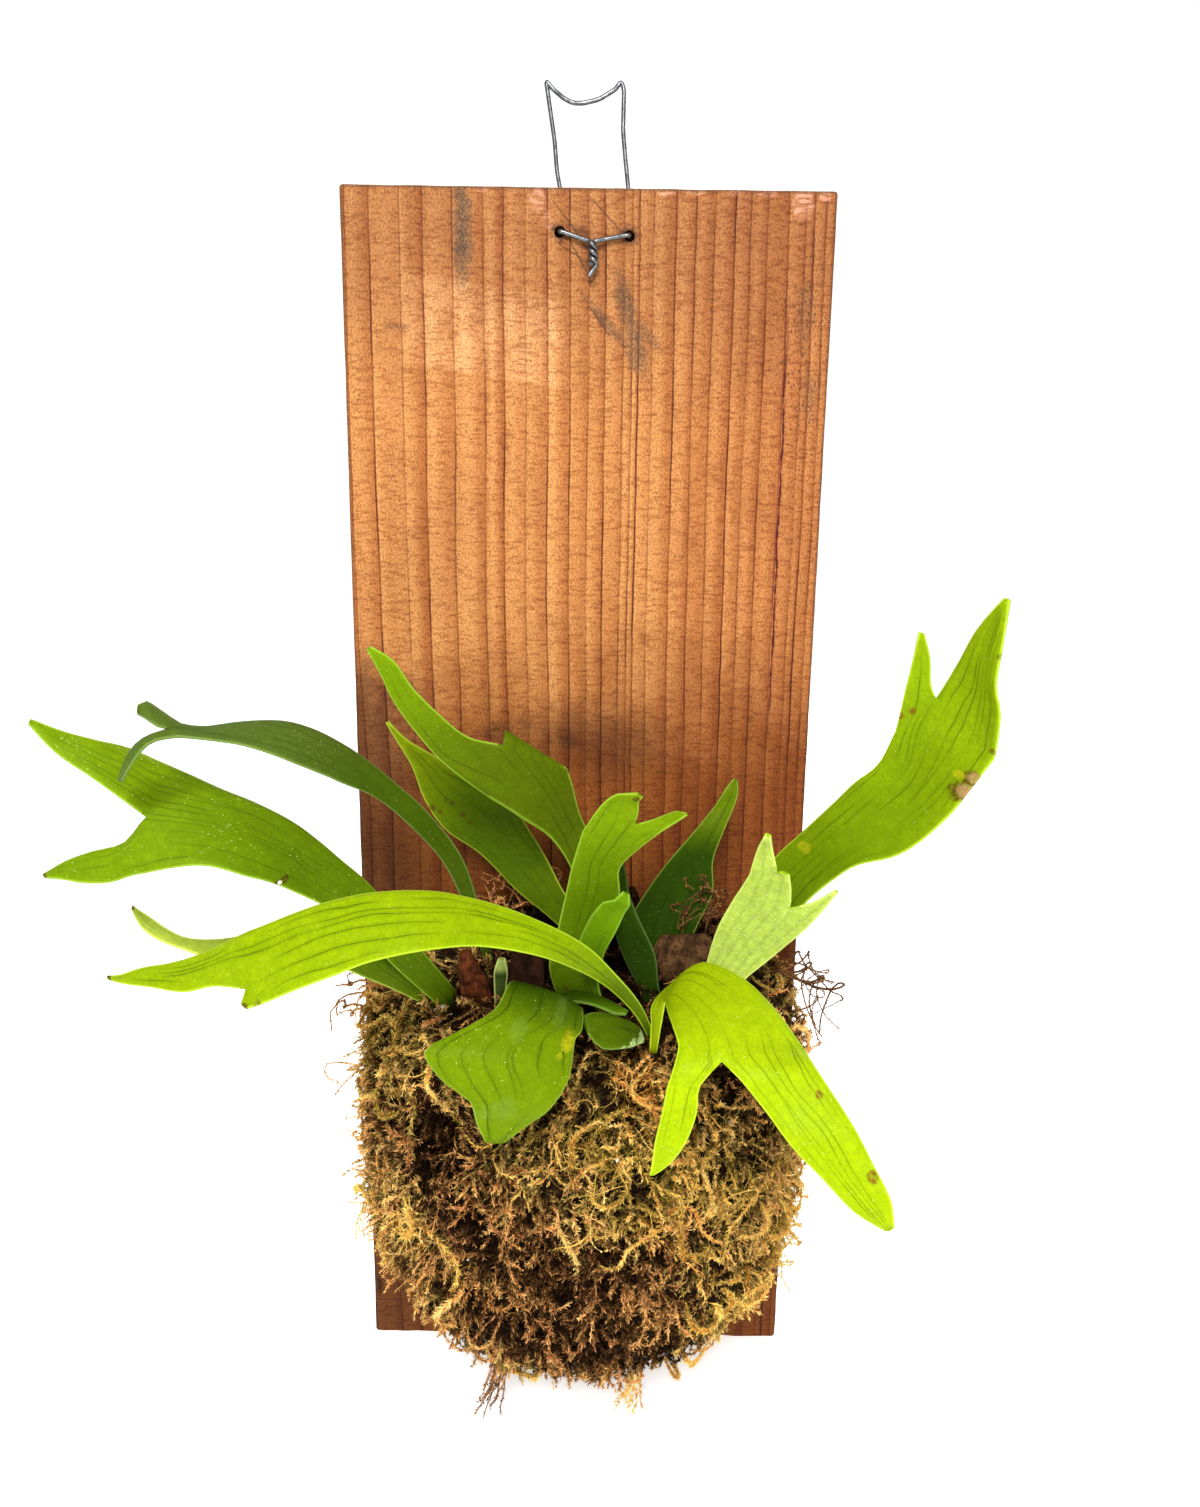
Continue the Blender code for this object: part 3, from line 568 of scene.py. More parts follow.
def wire_look():
    m = Look("galvanised_steel")
    spangle = m.cells(m.place, 0.9)
    tone = m.split(spangle["Color"])[0]
    dull = m.clouds(0.6, 3.0, 0.6)
    colour = m.mix(tone, (0.25, 0.255, 0.265), (0.15, 0.153, 0.16))
    colour = m.mix(m.rise(dull, 0.50, 0.75, 0.7), colour, (0.06, 0.057, 0.054))
    scratch = m.streaks((3.0, 3.0, 0.4), 3.0, 0.6)
    roughness = m.smooth(dull, 0.3, 0.75, 0.30, 0.52)
    normal = m.bump(scratch, 0.05, 0.6)
    return m.finish(colour, roughness, normal, Metallic=1.0)


def rounded(points, radius, steps=3):
    """The path with each corner replaced by a short arc."""
    path = [Vector(points[0])]
    for before, here, after in zip(points, points[1:], points[2:]):
        corner = Vector(here)
        to_before = Vector(before) - corner
        to_after = Vector(after) - corner
        reach = min(radius, to_before.length / 2, to_after.length / 2)
        start = corner + to_before.normalized() * reach
        end = corner + to_after.normalized() * reach
        for i in range(steps + 1):
            t = i / steps
            first = start.lerp(corner, t)
            second = corner.lerp(end, t)
            path.append(first.lerp(second, t))
    path.append(Vector(points[-1]))
    return path


def twist(side, top, steps=18):
    """One strand of the twisted ends, winding down from the top point."""
    strand = []
    for i in range(steps + 1):
        t = i / steps
        turn = math.tau * TWIST_TURNS * t + (math.pi if side < 0 else 0.0)
        spread = TWIST_RADIUS * math.cos(turn)
        depth = TWIST_RADIUS * math.sin(turn)
        drift = KNOT_DRIFT * t
        strand.append(
            (top[0] + drift + spread, top[1] + depth, top[2] - TWIST_LENGTH * t)
        )
    return strand


def wire_path():
    """The wire's middle line, from its tail on the front round the loop to its other end."""
    front = FACE - WIRE_FRONT
    proud = FACE - KNOT_PROUD
    behind = WIRE_BEHIND
    low = WIRE / 2
    (left, left_down), (right, right_down) = HOLES
    left_hole = PLANK_TOP - left_down
    right_hole = PLANK_TOP - right_down
    knot = (1.2, proud, left_hole - 2.8)
    strand_left = twist(-1, knot)
    strand_right = twist(1, knot)
    tail = strand_left[-1]
    points = [(tail[0] - 2.2, tail[1], tail[2] - 3.2)]
    points += strand_left[::-1]
    points += [
        (-2.2, proud + 0.6, left_hole - 1.9),
        (left + 1.4, front, left_hole - 0.4),
        (left, front, left_hole),
        (left, FACE + 1.5, left_hole),
        (left, -1.0, left_hole),
        (left, behind, left_hole + 0.3),
        (left - 0.2, behind, PLANK_TOP - 4.0),
        (left - 0.1, behind + 0.2, PLANK_TOP + 1.0),
        (left - 1.7, behind + 0.2, PLANK_TOP + 9.0),
        (left - 2.4, behind, PLANK_TOP + 17.0),
        (left - 5.0, behind - 0.4, PLANK_TOP + 33.0),
        (left - 3.4, behind - 0.6, PLANK_TOP + 31.0),
        (left + 0.1, behind, PLANK_TOP + 28.4),
        (left + 2.8, behind, low),
        (left + 5.8, behind, low),
        (left + 10.4, behind, PLANK_TOP + 28.2),
        (right - 4.4, behind, PLANK_TOP + 31.0),
        (right - 2.9, behind, PLANK_TOP + 33.2),
        (right - 2.0, behind, PLANK_TOP + 31.0),
        (right - 2.1, behind, PLANK_TOP + 20.0),
        (right - 1.2, behind + 0.2, PLANK_TOP + 12.0),
        (right + 0.2, behind + 0.2, PLANK_TOP + 1.0),
        (right + 0.2, behind, PLANK_TOP - 4.0),
        (right, behind, right_hole + 0.3),
        (right, -1.0, right_hole),
        (right, FACE + 1.5, right_hole),
        (right, front, right_hole),
        (right - 1.4, front, right_hole - 0.2),
        (4.4, proud + 0.6, right_hole - 1.4),
    ]
    points += strand_right
    return rounded(points, WIRE_BEND, 4)


def make_wire():
    curve = bpy.data.curves.new("wire_loop", "CURVE")
    curve.dimensions = "3D"
    curve.bevel_depth = WIRE / 2 * MM
    curve.bevel_resolution = 5
    curve.use_fill_caps = True
    path = wire_path()
    spline = curve.splines.new("POLY")
    spline.points.add(len(path) - 1)
    for point, place in zip(spline.points, path):
        point.co = (*(place * MM), 1.0)
    wire = add("wire_loop", curve, wire_look())
    return settle(wire, "galvanised_wire", "wire_hanger")


# Blades --------------------------------------------------------------------------------


def at(x, out, z, width, bearing, dip):
    """One station of a blade: the middle of its cross line and half that line.

    out is the distance from the plank's face and z is measured from the plank's middle.
    The cross line points along bearing, as seen from the front, and dips outward.
    """
    middle = Vector((x, FACE - out, PLANK_MID + z))
    flat = math.cos(math.radians(dip))
    half = Vector(
        (
            flat * math.cos(math.radians(bearing)),
            -math.sin(math.radians(dip)),
            flat * math.sin(math.radians(bearing)),
        )
    )
    return middle, half * width / 2


def limb(rows, share=None, notch=(0.0, 0.0), first=None, second=None):
    """A run of stations that may end in two further limbs. A row holds what at takes.

    The notch between them splits the last cross line at share. It lies that far past
    the line, and that far along it.
    """
    stations = [at(*row) for row in rows]
    return {"rows": stations, "share": share, "notch": notch, "first": first, "second": second}


def catmull(before, start, end, after, t):
    """A point on the smooth curve from start to end, as a pair of vectors."""
    found = []
    for a, b, c, d in zip(before, start, end, after):
        slope_in = (c - a) / 2
        slope_out = (d - b) / 2
        t2 = t * t
        t3 = t2 * t
        found.append(
            b * (2 * t3 - 3 * t2 + 1)
            + slope_in * (t3 - 2 * t2 + t)
            + c * (3 * t2 - 2 * t3)
            + slope_out * (t3 - t2)
        )
    return tuple(found)


def beyond(end, inner):
    """The station that carries a run on past its end."""
    return tuple(a * 2 - b for a, b in zip(end, inner))


def sample(stations, spacing, lead=None):
    """Evenly spaced cross lines along the stations."""
    line = list(stations)
    start = lead or beyond(line[0], line[1])
    line = [start, *line, beyond(line[-1], line[-2])]
    found = [line[1]]
    for i in range(1, len(line) - 2):
        span = (line[i + 1][0] - line[i][0]).length
        steps = max(1, round(span / spacing))
        for k in range(1, steps + 1):
            found.append(catmull(line[i - 1], line[i], line[i + 1], line[i + 2], k / steps))
    return found


def ease(t):
    t = min(max(t, 0.0), 1.0)
    return t * t * (3 - 2 * t)


LEAF_DOWN = (0.56, 0.70, 0.26)
UNDER_DOWN = (0.80, 0.84, 0.62)
UNDER_RIM = (0.78, 0.90, 0.30)
TRANSLUCENT = {"Subsurface_Weight": 0.12, "Subsurface_Scale": 0.0012}


class Sheet:
    """An open sheet grown limb by limb, with what its shader needs at each point.

    The blade attribute holds the place across (0 to 1), the distance along and the
    width there, and the margin attribute holds the distance to the nearer margin.
    """

    def __init__(self, camber, seed):
        self.camber = camber
        self.seed = Vector((seed * 3.7, seed * 1.3, seed * 2.1))
        self.verts = []
        self.faces = []
        self.blade = []
        self.margin = []

    def wavy(self, point, normal, width):
        """A slow, slight waviness that a flat blade has."""
        swell = noise.noise(point / 13 + self.seed) * 0.6 + noise.noise(point / 5) * 0.16
        return point + normal * swell * min(1.0, width / 14)

    def chord(self, row):
        """The straight line between a row's ends: its middle and half of it."""
        start, end = self.verts[row[0]], self.verts[row[-1]]
        return (start + end) / 2, (end - start) / 2

    def grow(self, part, columns, span=(0.0, 1.0), along=0.0, lead=None, root=None):
        """Adds a limb and then the two that it divides into."""
        stations = list(part["rows"])
        sides = [2 * j / columns - 1 for j in range(columns + 1)]
        bulge = [Vector()] * (columns + 1)
        if root:
            middle, half = self.chord(root)
            stations.insert(0, (middle, half))
            bulge = [self.verts[k] - (middle + half * s) for k, s in zip(root, sides)]
        lines = sample(stations, ROW_SPACING, lead)
        last = len(lines) - 1
        previous = root
        travelled = 0.0
        for i, (middle, half) in enumerate(lines):
            if i:
                travelled += (middle - lines[i - 1][0]).length
            if root and i == 0:
                continue
            ahead = lines[min(i + 1, last)][0] - lines[max(i - 1, 0)][0]
            width = half.length * 2
            normal = ahead.cross(half).normalized()
            # Past a fork, the limb keeps its root's bulge for a while
            fade = 1 - ease(travelled / FORK_FADE) if root else 0.0
            rise = self.camber * max(0.0, width - STALK_WIDTH)
            late = max(0.0, (i - last * 0.5) / (last * 0.5)) ** 2
            past, sideways = part["notch"]
            shift = ahead.normalized() * past + half.normalized() * sideways
            row = []
            for j, s in enumerate(sides):
                point = middle + half * s + normal * (rise * (1 - s * s) * (1 - fade))
                point = point + bulge[j] * fade
                if part["share"]:
                    point = point + shift * tent(s, part["share"]) * late
                u = span[0] + (span[1] - span[0]) * j / columns
                row.append(len(self.verts))
                self.verts.append(point)
                self.blade.append((u, along + travelled, width / (span[1] - span[0])))
                self.margin.append((1 - abs(s)) * width / 2)
            if previous:
                for j in range(columns):
                    self.faces.append((previous[j], previous[j + 1], row[j + 1], row[j]))
            previous = row
        if part["share"]:
            before = lines[-2][0] - lines[-1][0]
            self.fork(part, columns, span, along + travelled, before, previous)

    def fork(self, part, columns, span, along, before, row):
        """Grows two limbs from the two sides of the last row."""
        split = min(max(round(part["share"] * columns), 1), columns - 1)
        cut = span[0] + (span[1] - span[0]) * split / columns
        branches = (
            (part["first"], row[: split + 1], (span[0], cut)),
            (part["second"], row[split:], (cut, span[1])),
        )
        for branch, root, piece in branches:
            middle, half = self.chord(root)
            self.grow(branch, len(root) - 1, piece, along, (middle + before, half), root)


def tent(s, share):
    """1 where two limbs part, falling to 0 at both margins."""
    peak = 2 * share - 1
    return (s + 1) / (peak + 1) if s < peak else (1 - s) / (1 - peak)


def forked_veins(m, u, along, width, margin, veins, seed):
    """The veins, a soft glow round them, and how far either shows."""
    # Each vein keeps to its place across the blade, and some of them fork
    wobble = m.noise(m.vector(m.times(u, 2.0), m.times(along, 0.035), seed), 1.0, 2.0)
    cell = m.times_plus(u, float(veins), m.times(m.minus(wobble, 0.5), 1.5))
    index = m.math("FLOOR", cell)
    chance = m.node("ShaderNodeTexWhiteNoise", noise_dimensions="1D")
    m.put(chance.inputs["W"], m.math("ADD", index, seed))
    start, fork, _ = m.split(chance.outputs["Color"])
    off = m.math("ABSOLUTE", m.minus(m.math("FRACT", cell), 0.5))
    room = m.minus(along, m.smooth(start, 0.0, 1.0, 20.0, 90.0, "LINEAR"))
    spread = m.times(m.rise(room, 0.0, 28.0, 0.21), m.math("GREATER_THAN", fork, 0.55))
    gap = m.math("ABSOLUTE", m.minus(off, spread))
    gap = m.math("DIVIDE", m.times(gap, width), float(veins))
    vein = m.fall(gap, 0.05, 0.25)
    glow = m.fall(gap, 0.1, 1.3)
    run = m.noise(m.vector(m.times(along, 0.03), index, seed), 1.0, 1.0)
    shown = m.times(m.rise(run, 0.42, 0.56), m.rise(margin, 0.9, 2.6))
    fine = m.noise(m.vector(m.times(along, 0.35), index, seed + 5.0), 1.0, 2.0)
    shown = m.times(shown, m.smooth(fine, 0.25, 0.45, 0.45, 1.0))
    return m.times(vein, shown), glow, shown


def star_hairs(m, place):
    """White dots scattered in patches."""
    often = m.smooth(m.noise(place, 0.09, 3.0, 0.65), 0.42, 0.64, 0.985, 0.60)
    dot = 0.0
    for stretch in ((0.45, 0.7, 1.3), (1.3, 0.7, 0.45), (0.9, 0.9, 0.9)):
        flecks = m.cells(m.scaled(place, stretch), 0.9)
        rare = m.math("GREATER_THAN", m.split(flecks["Color"])[1], often)
        fleck = m.times(m.fall(flecks["Distance"], 0.05, 0.16), rare)
        dot = m.larger(dot, fleck)
    return dot


def leaf_look(name, tip, base, reach, veins, vein_share, scurf, seed, spots=()):
    """A frond's upper side: dark forked veins, pale margins and white scurf.

    Its colour goes from base to tip between the two distances in reach; the darker base paints the
    shade near the crown.
    """
    m = Look(name)
    u, along, width = m.across_along_width()
    margin = m.attribute("margin").outputs["Fac"]
    shift = (seed * 17.0, 0.0, 0.0)
    shifted = m.node("ShaderNodeVectorMath", m.place, shift, operation="ADD").outputs[0]
    broad = m.noise(shifted, 0.05, 2.0)
    mottle = m.noise(shifted, 0.35, 3.0, 0.6)
    felt = m.noise(shifted, 1.3, 3.0, 0.75)
    vein, glow, shown = forked_veins(m, u, along, width, margin, veins, seed)
    ripe = m.nudged(m.smooth(along, *reach), broad, 0.7)
    colour = m.mix(ripe, base, tip)
    dark = tuple(c * 0.34 for c in base)
    colour = m.tones(colour, (
        (mottle, 0.42, 0.70, 0.7, (1.20, 1.16, 1.0)),
        (felt, 0.50, 0.66, 0.45, (0.72, 0.76, 0.7)),
        (felt, 0.48, 0.34, 0.45, (1.28, 1.20, 1.6)),
    ))
    colour = m.mix(m.times(glow, shown, 0.22), colour, base)
    colour = m.mix(m.times(vein, vein_share), colour, dark)
    # Pale margins: partly the thin edge's own colour, partly painted light shining through it
    rim = m.fall(margin, 0.15, 0.60)
    pale = tuple(min(0.9, c * 1.7 + 0.05) for c in tip)
    colour = m.mix(m.times(rim, 0.7), colour, pale)
    dot = star_hairs(m, shifted)
    film = m.rise(m.noise(shifted, 0.3, 5.0, 0.75), 0.60, 0.78, 0.22)
    white = m.times(m.larger(dot, film), scurf, clamp=True)
    colour = m.mix(white, colour, LEAF_DOWN)
    for place, size, tint, share in spots:
        colour = spotted(m, colour, place, size, tint, share)
    height = m.times_plus(m.noise(shifted, 1.3, 3.0, 0.6), 0.5, m.times(vein, -0.6))
    height = m.times_plus(dot, 0.5, height)
    normal = m.bump(height, 0.14, 0.7)
    roughness = m.smooth(mottle, 0.3, 0.7, 0.36, 0.50)
    return m.finish(colour, roughness, normal, Specular_IOR_Level=0.10,
                    Specular_Tint=(0.85, 1.0, 0.45, 1.0),
                    Subsurface_Radius=(0.9, 1.0, 0.15), **TRANSLUCENT)


def spotted(m, colour, place, reach, tint, share):
    """A ragged spot of another colour round a place seen from the front."""
    x, z = place
    seen = m.scaled(m.place, (1, 0, 1))
    centre = (x, 0.0, PLANK_MID + z)
    apart = m.node("ShaderNodeVectorMath", seen, centre, operation="DISTANCE").outputs["Value"]
    ragged = m.minus(m.clouds(0.9, 3.0, 0.6), 0.5)
    apart = m.times_plus(ragged, reach * 0.9, apart)
    mark = m.fall(apart, reach * 0.6, reach * 1.1)
    broken = m.smooth(m.clouds(1.4, 2.0, 0.6), 0.40, 0.56, 0.45, 1.0)
    return m.mix(m.times(mark, broken, share), colour, tint)


def under_look(name, tone):
    """A frond's lower side: paler, downy, with the veins standing out."""
    m = Look(name)
    u, along, width = m.across_along_width()
    margin = m.attribute("margin").outputs["Fac"]
    mottle = m.clouds(0.4, 4.0, 0.65)
    down = m.clouds(2.2, 3.0, 0.7)
    colour = m.mix(m.rise(mottle, 0.35, 0.7), tone, tuple(c * 0.78 for c in tone))
    wobble = m.noise(m.vector(m.times(u, 3.0), m.times(along, 0.06), 0.0), 1.0, 2.0)
    cell = m.times_plus(u, 6.0, m.times(wobble, 0.8))
    off = m.math("ABSOLUTE", m.minus(m.math("FRACT", cell), 0.5))
    gap = m.math("DIVIDE", m.times(off, width), 6.0)
    vein = m.times(m.fall(gap, 0.15, 0.7), m.rise(margin, 0.7, 2.0))
    colour = m.mix(m.times(vein, 0.28), colour, tuple(c * 0.5 for c in tone))
    colour = m.mix(m.rise(down, 0.52, 0.75, 0.5), colour, UNDER_DOWN)
    rim = m.fall(margin, 0.0, 0.8)
    colour = m.mix(m.times(rim, 0.5), colour, UNDER_RIM)
    normal = m.bump(m.times_plus(vein, 0.8, down), 0.10, 0.6)
    return m.finish(colour, 0.6, normal, Specular_IOR_Level=0.25,
                    Subsurface_Radius=(0.9, 1.0, 0.3), **TRANSLUCENT)


def blade_mesh(name, sheet, flip):
    """The sheet as a mesh whose upper side faces up or out, or down and in if flipped."""
    mesh = bpy.data.meshes.new(name)
    mesh.from_pydata([point * MM for point in sheet.verts], [], sheet.faces)
    mesh.update()
    up = Vector((0.0, -0.5, 1.0))
    facing = sum(face.normal.dot(up) * face.area for face in mesh.polygons)
    shape = bmesh.new()
    shape.from_mesh(mesh)
    if (facing < 0) != flip:
        bmesh.ops.reverse_faces(shape, faces=shape.faces)
    shape.normal_update()
    for vert, (_, _, width) in zip(shape.verts, sheet.blade):
        vert.co = sheet.wavy(vert.co / MM, vert.normal, width) * MM
    shape.to_mesh(mesh)
    shape.free()
    blade = mesh.attributes.new("blade", "FLOAT_VECTOR", "POINT")
    blade.data.foreach_set("vector", np.array(sheet.blade, np.float32).ravel())
    margin = mesh.attributes.new("margin", "FLOAT", "POINT")
    margin.data.foreach_set("value", np.array(sheet.margin, np.float32))
    mesh.shade_smooth()
    return mesh


def thicken(obj, sheet):
    """Gives a blade its thickness, which is most at its stalk and least at its margins."""
    group = obj.vertex_groups.new(name="thickness")
    for i, (edge, (_, _, width)) in enumerate(zip(sheet.margin, sheet.blade)):
        stalk = max(0.0, 1 - width / STALK_WIDTH / 2)
        thick = BLADE_THICK + (STALK_THICK - BLADE_THICK) * stalk
        thin = MARGIN_SHARE + (1 - MARGIN_SHARE) * ease(edge / MARGIN_WIDTH)
        group.add([i], thick * thin / STALK_THICK, "REPLACE")
    skin = obj.modifiers.new("thickness", "SOLIDIFY")
    skin.thickness = STALK_THICK * MM
    skin.offset = 0.0
    skin.use_even_offset = False
    skin.vertex_group = group.name
    skin.material_offset = 1
    skin.material_offset_rim = 0
    apply_modifiers(obj)


def make_blade(name, node, slot, part, columns, camber, upper, under, seed, flip=False):
    sheet = Sheet(camber, seed)
    sheet.grow(part, columns)
    blade = add(name, blade_mesh(name, sheet, flip), upper, under)
    thicken(blade, sheet)
    return settle(blade, slot, node)


# Fern ----------------------------------------------------------------------------------

FAR_LEFT = limb(
    [(-36, 31, -50, 5, -142, 25), (-39, 37, -41, 7, -129, 17), (-47, 44, -28, 9, -157, 28),
     (-59, 51, -9, 13, -156, 50), (-72, 57, 4, 17, -128, 54), (-83, 61, 12, 22, -108, 56),
     (-95, 63, 17, 24, -93, 50), (-110, 64, 19, 31, -97, 38)],
    share=0.5, notch=(1, 0),
    first=limb(
        [(-116, 62, 30, 16, -78, 42), (-124, 64, 35, 10, -89, 42), (-132, 64, 39, 6, -105, 43),
         (-139, 64, 44, 1.5, -107, 35)],
    ),
    second=limb(
        [(-117, 70, 9, 11, -101, 38), (-124, 71, 8, 9, -94, 44), (-130, 71, 7, 5.5, -79, 47),
         (-136, 70, 5, 1.5, -33, 51)],
    ),
)

DARK_ARCH = limb(
    [(-25, 24, -47, 3, -166, 0), (-28, 26, -30, 3, -167, 0), (-32, 30, -14, 4.5, -175, 0),
     (-36, 36, 0, 5.5, -161, 10), (-43, 44, 13, 6.5, -159, 27), (-51, 50, 23, 8, -166, 38),
     (-61, 59, 33, 11, -105, 49), (-71, 66, 40, 13, -90, 56), (-82, 69, 43, 11, -70, 66),
     (-93, 70, 43, 7.5, -46, 70), (-98, 72, 44, 5.5, -65, 61)],
    share=0.5, notch=(2, 0),
    first=limb(
        [(-103, 72, 47, 5.5, -79, 47), (-106, 72, 49, 5, -82, 35), (-108, 72, 49, 2.5, -84, 23)],
    ),
    second=limb(
        [(-103, 76, 43, 3, -32, 46), (-106, 78, 41, 4, -15, 46), (-109, 78, 37, 4, -16, 48),
         (-112, 76, 32, 2.5, 1, 48)],
    ),
)

FRONT_LEFT = limb(
    [(22, 42, -53, 2, -179, 0), (20, 50, -44, 2.5, -137, 0), (16, 57, -34, 3.5, -125, 0),
     (9, 65, -23, 4.5, -132, 0), (1, 72, -14, 7, -135, 26), (-9, 80, -6, 9, -119, 41),
     (-22, 86, 0, 12, -101, 47), (-35, 92, 3, 16, -88, 50), (-48, 94, 2, 18, -77, 47),
     (-60, 94, -2, 19, -69, 43), (-76, 93, -9, 19, -66, 40)],
    share=0.75, notch=(3, 0),
    first=limb(
        [(-89, 88, -12, 10, -54, 45), (-97, 86, -15, 9, -54, 45), (-107, 82, -17, 6, -52, 44),
         (-114, 79, -19, 3, -52, 41), (-119, 76, -20, 1.5, -46, 48)],
    ),
    second=limb(
        [(-77, 100, -16, 2, -20, 33)],
    ),
)

LOW_LEFT = limb(
    [(-40, 27, -52, 4, -156, 31), (-42, 33, -46, 4.5, -159, 27), (-49, 40, -37, 6, -145, 29),
     (-58, 46, -28, 9, -129, 43), (-68, 50, -21, 11, -98, 53), (-81, 53, -19, 12, -81, 56),
     (-96, 54, -21, 8, -97, 60), (-107, 53, -20, 4, -120, 60), (-113, 54, -17, 4, -140, 47),
     (-118, 54, -13, 3.5, -126, 37), (-121, 54, -9, 1, -111, 0)],
)

TORN = limb(
    [(5, 26, -36, 3.5, 1, 0), (4, 28, -15, 6, 16, 0), (1, 30, -1, 9, 43, -7),
     (-4, 34, 10, 11, 42, -10), (-9, 38, 18, 17, 32, -10), (-14, 41, 24, 23, 19, -10)],
    share=0.32, notch=(15, 7),
    first=limb(
        [(-33, 46, 34, 10, 52, -6), (-40, 50, 42, 8, 43, -7), (-46, 52, 50, 6.5, 36, 0),
         (-50, 54, 58, 5, 39, 0), (-54, 56, 63, 1.5, 37, 0)],
    ),
    second=limb(
        [(-12, 42, 34, 20, -35, -14)],
    ),
)

SPOTTED = limb(
    [(6, 24, -40, 4, 38, 0), (0, 22, -26, 8, 54, 0), (-7, 20, -19, 9, 52, 0),
     (-14, 19, -11, 13, 38, 0), (-22, 18, -1, 17, 21, 0), (-31, 18, 8, 21, 25, 0),
     (-41, 18, 17, 14, 38, 0), (-47, 19, 25, 7, 35, 0), (-52, 21, 31, 3, 18, 0),
     (-56, 23, 37, 1, 19, 0)],
)

MIDDLE = limb(
    [(0, 36, -46, 8, 1, 0), (-2, 42, -30, 12, 1, 0), (1, 48, -16, 13, 1, 0), (4, 52, -5, 15, 3, 4),
     (5, 56, 5, 13, 0, 4), (9, 60, 14, 16, -13, 7)],
    share=0.7, notch=(7, 0),
    first=limb(
        [(11, 61, 23, 10, -5, 0), (13, 62, 26, 6, -17, 0), (16, 63, 27, 2, -30, 0)],
    ),
    second=limb(
        [(21, 63, 19, 4, -51, 28), (26, 64, 22, 3, -56, 42), (28, 66, 23, 1, -68, 61)],
    ),
)

SMALL_TIP = limb(
    [(7.5, 37, -49, 3, -17, 0), (6.5, 42, -41, 3, -17, 0), (4, 47, -31, 5, -24, 8),
     (4, 56, -19, 7.5, -14, 16), (7, 60, -10, 8, -19, 15), (10, 62, -4, 6.5, -22, 9),
     (12, 64, -2, 4.5, -13, 13), (13, 65, 1, 2, -23, 0)],
)

DARK_RIGHT = limb(
    [(24, 27, -42, 7, 1, 0), (24, 26, -33, 15, 0, 4), (26, 24, -22, 20, -2, 3),
     (30, 22, -14, 20, 1, 3), (33, 20, -5, 14, 5, 4), (38, 20, 4, 9, 1, 6),
     (43, 18, 12, 5.5, -6, 10), (45, 18, 17, 4, -22, 0), (46, 17, 20, 1.5, -26, 0)],
)

NARROW_DARK = limb(
    [(24, 34, -48, 4, 21, 0), (21, 36, -38, 6, 21, 10), (18, 38, -28, 9, 15, 6),
     (14, 38, -18, 8, 15, 7), (12, 37, -10, 5.5, 13, 0), (12, 36, -5, 4, 19, 0),
     (12, 36, 0, 1.5, 24, 0)],
)

RIGHT = limb(
    [(44, 25, -49, 5, -4, 10), (46, 31, -40, 5, -4, 24), (49, 36, -27, 9, -18, 33),
     (54, 42, -13, 14, -21, 36), (59, 48, 0, 16, -39, 44), (68, 53, 11, 18, -44, 49),
     (78, 58, 20, 24, -52, 46), (86, 62, 29, 25, -33, 49), (92, 66, 42, 28, -7, 46)],
    share=0.38, notch=(12, -7),
    first=limb(
        [(86, 61, 56, 6.5, 16, 18), (86, 62, 63, 4.5, 16, 13), (85, 64, 70, 1.5, -10, 0)],
    ),
    second=limb(
        [(97, 71, 55, 18, -32, 52), (97, 73, 62, 13, -41, 53), (98, 76, 70, 9, -43, 51),
         (99, 78, 75, 5.5, -48, 44), (100, 80, 80, 1.5, -28, 39)],
    ),
)

PALE = limb(
    [(36, 38, -52, 3, -11, 0), (37, 46, -42, 4.5, -11, 0), (39, 57, -27, 9, -18, 12),
     (45, 65, -12, 17, -18, 7), (50, 70, -2, 20, -21, 9)],
    share=0.68, notch=(4, 0),
    first=limb(
        [(49, 74, 8, 11, -17, 10)],
        share=0.62, notch=(4, 0),
        first=limb(
            [(47, 76, 17, 4, 5, 14), (47, 80, 22, 1.5, -18, 0)],
        ),
        second=limb(
            [(52, 77, 11, 2.5, -12, 0)],
        ),
    ),
    second=limb(
        [(61, 74, 1, 3.5, -45, 16), (65, 78, 7, 1, -44, 0)],
    ),
)

FRONT_RIGHT = limb(
    [(22, 44, -58, 2, -179, 0), (22, 54, -46, 2.5, -179, 0), (22, 62, -37, 3, 179, -19),
     (22, 70, -28, 4.5, -163, -44), (24, 76, -22, 7.5, 48, -74), (28, 83, -17, 17, 40, -44),
     (33, 92, -17, 23, 22, -32), (37, 100, -20, 26, 11, -18), (39, 106, -24, 31, 6, -7)],
    share=0.36, notch=(1, 0),
    first=limb(
        [(26, 110, -29, 7.5, 5, 8), (25, 112, -35, 8, 5, 7), (23, 114, -41, 7, 2, 8),
         (21, 113, -47, 4, -6, 0), (19, 113, -50, 1, 1, 0)],
    ),
    second=limb(
        [(47, 110, -25, 17, 14, -7), (52, 114, -31, 16, 12, -4), (57, 119, -37, 15, 13, 0),
         (62, 122, -43, 12, 16, 5), (67, 125, -49, 9, 30, 14), (71, 126, -54, 2.5, 39, 23)],
    ),
)

DROOPING = limb(
    [(-4, 44, -54, 3, -5, 0), (-5, 56, -38, 9, -18, 0), (-7, 69, -26, 20, -24, -6),
     (-9, 80, -28, 24, -17, -12), (-15, 86, -30, 32, -8, -13), (-18, 90, -33, 37, -8, -11),
     (-16, 92, -39, 30, -3, -8), (-15, 93, -44, 20, -8, -6), (-17, 92, -50, 13, -2, -4),
     (-19, 92, -55, 5, -6, -11)],
)

SMALL_DROOP = limb(
    [(14, 42, -58, 3, -113, 0), (16.5, 50, -49, 3, -113, 0), (18, 57, -43, 4.5, -70, 26),
     (12, 65, -38, 10, -57, 37), (6, 69, -36, 10, -67, 35), (3, 70, -34, 5, -69, 37)],
)

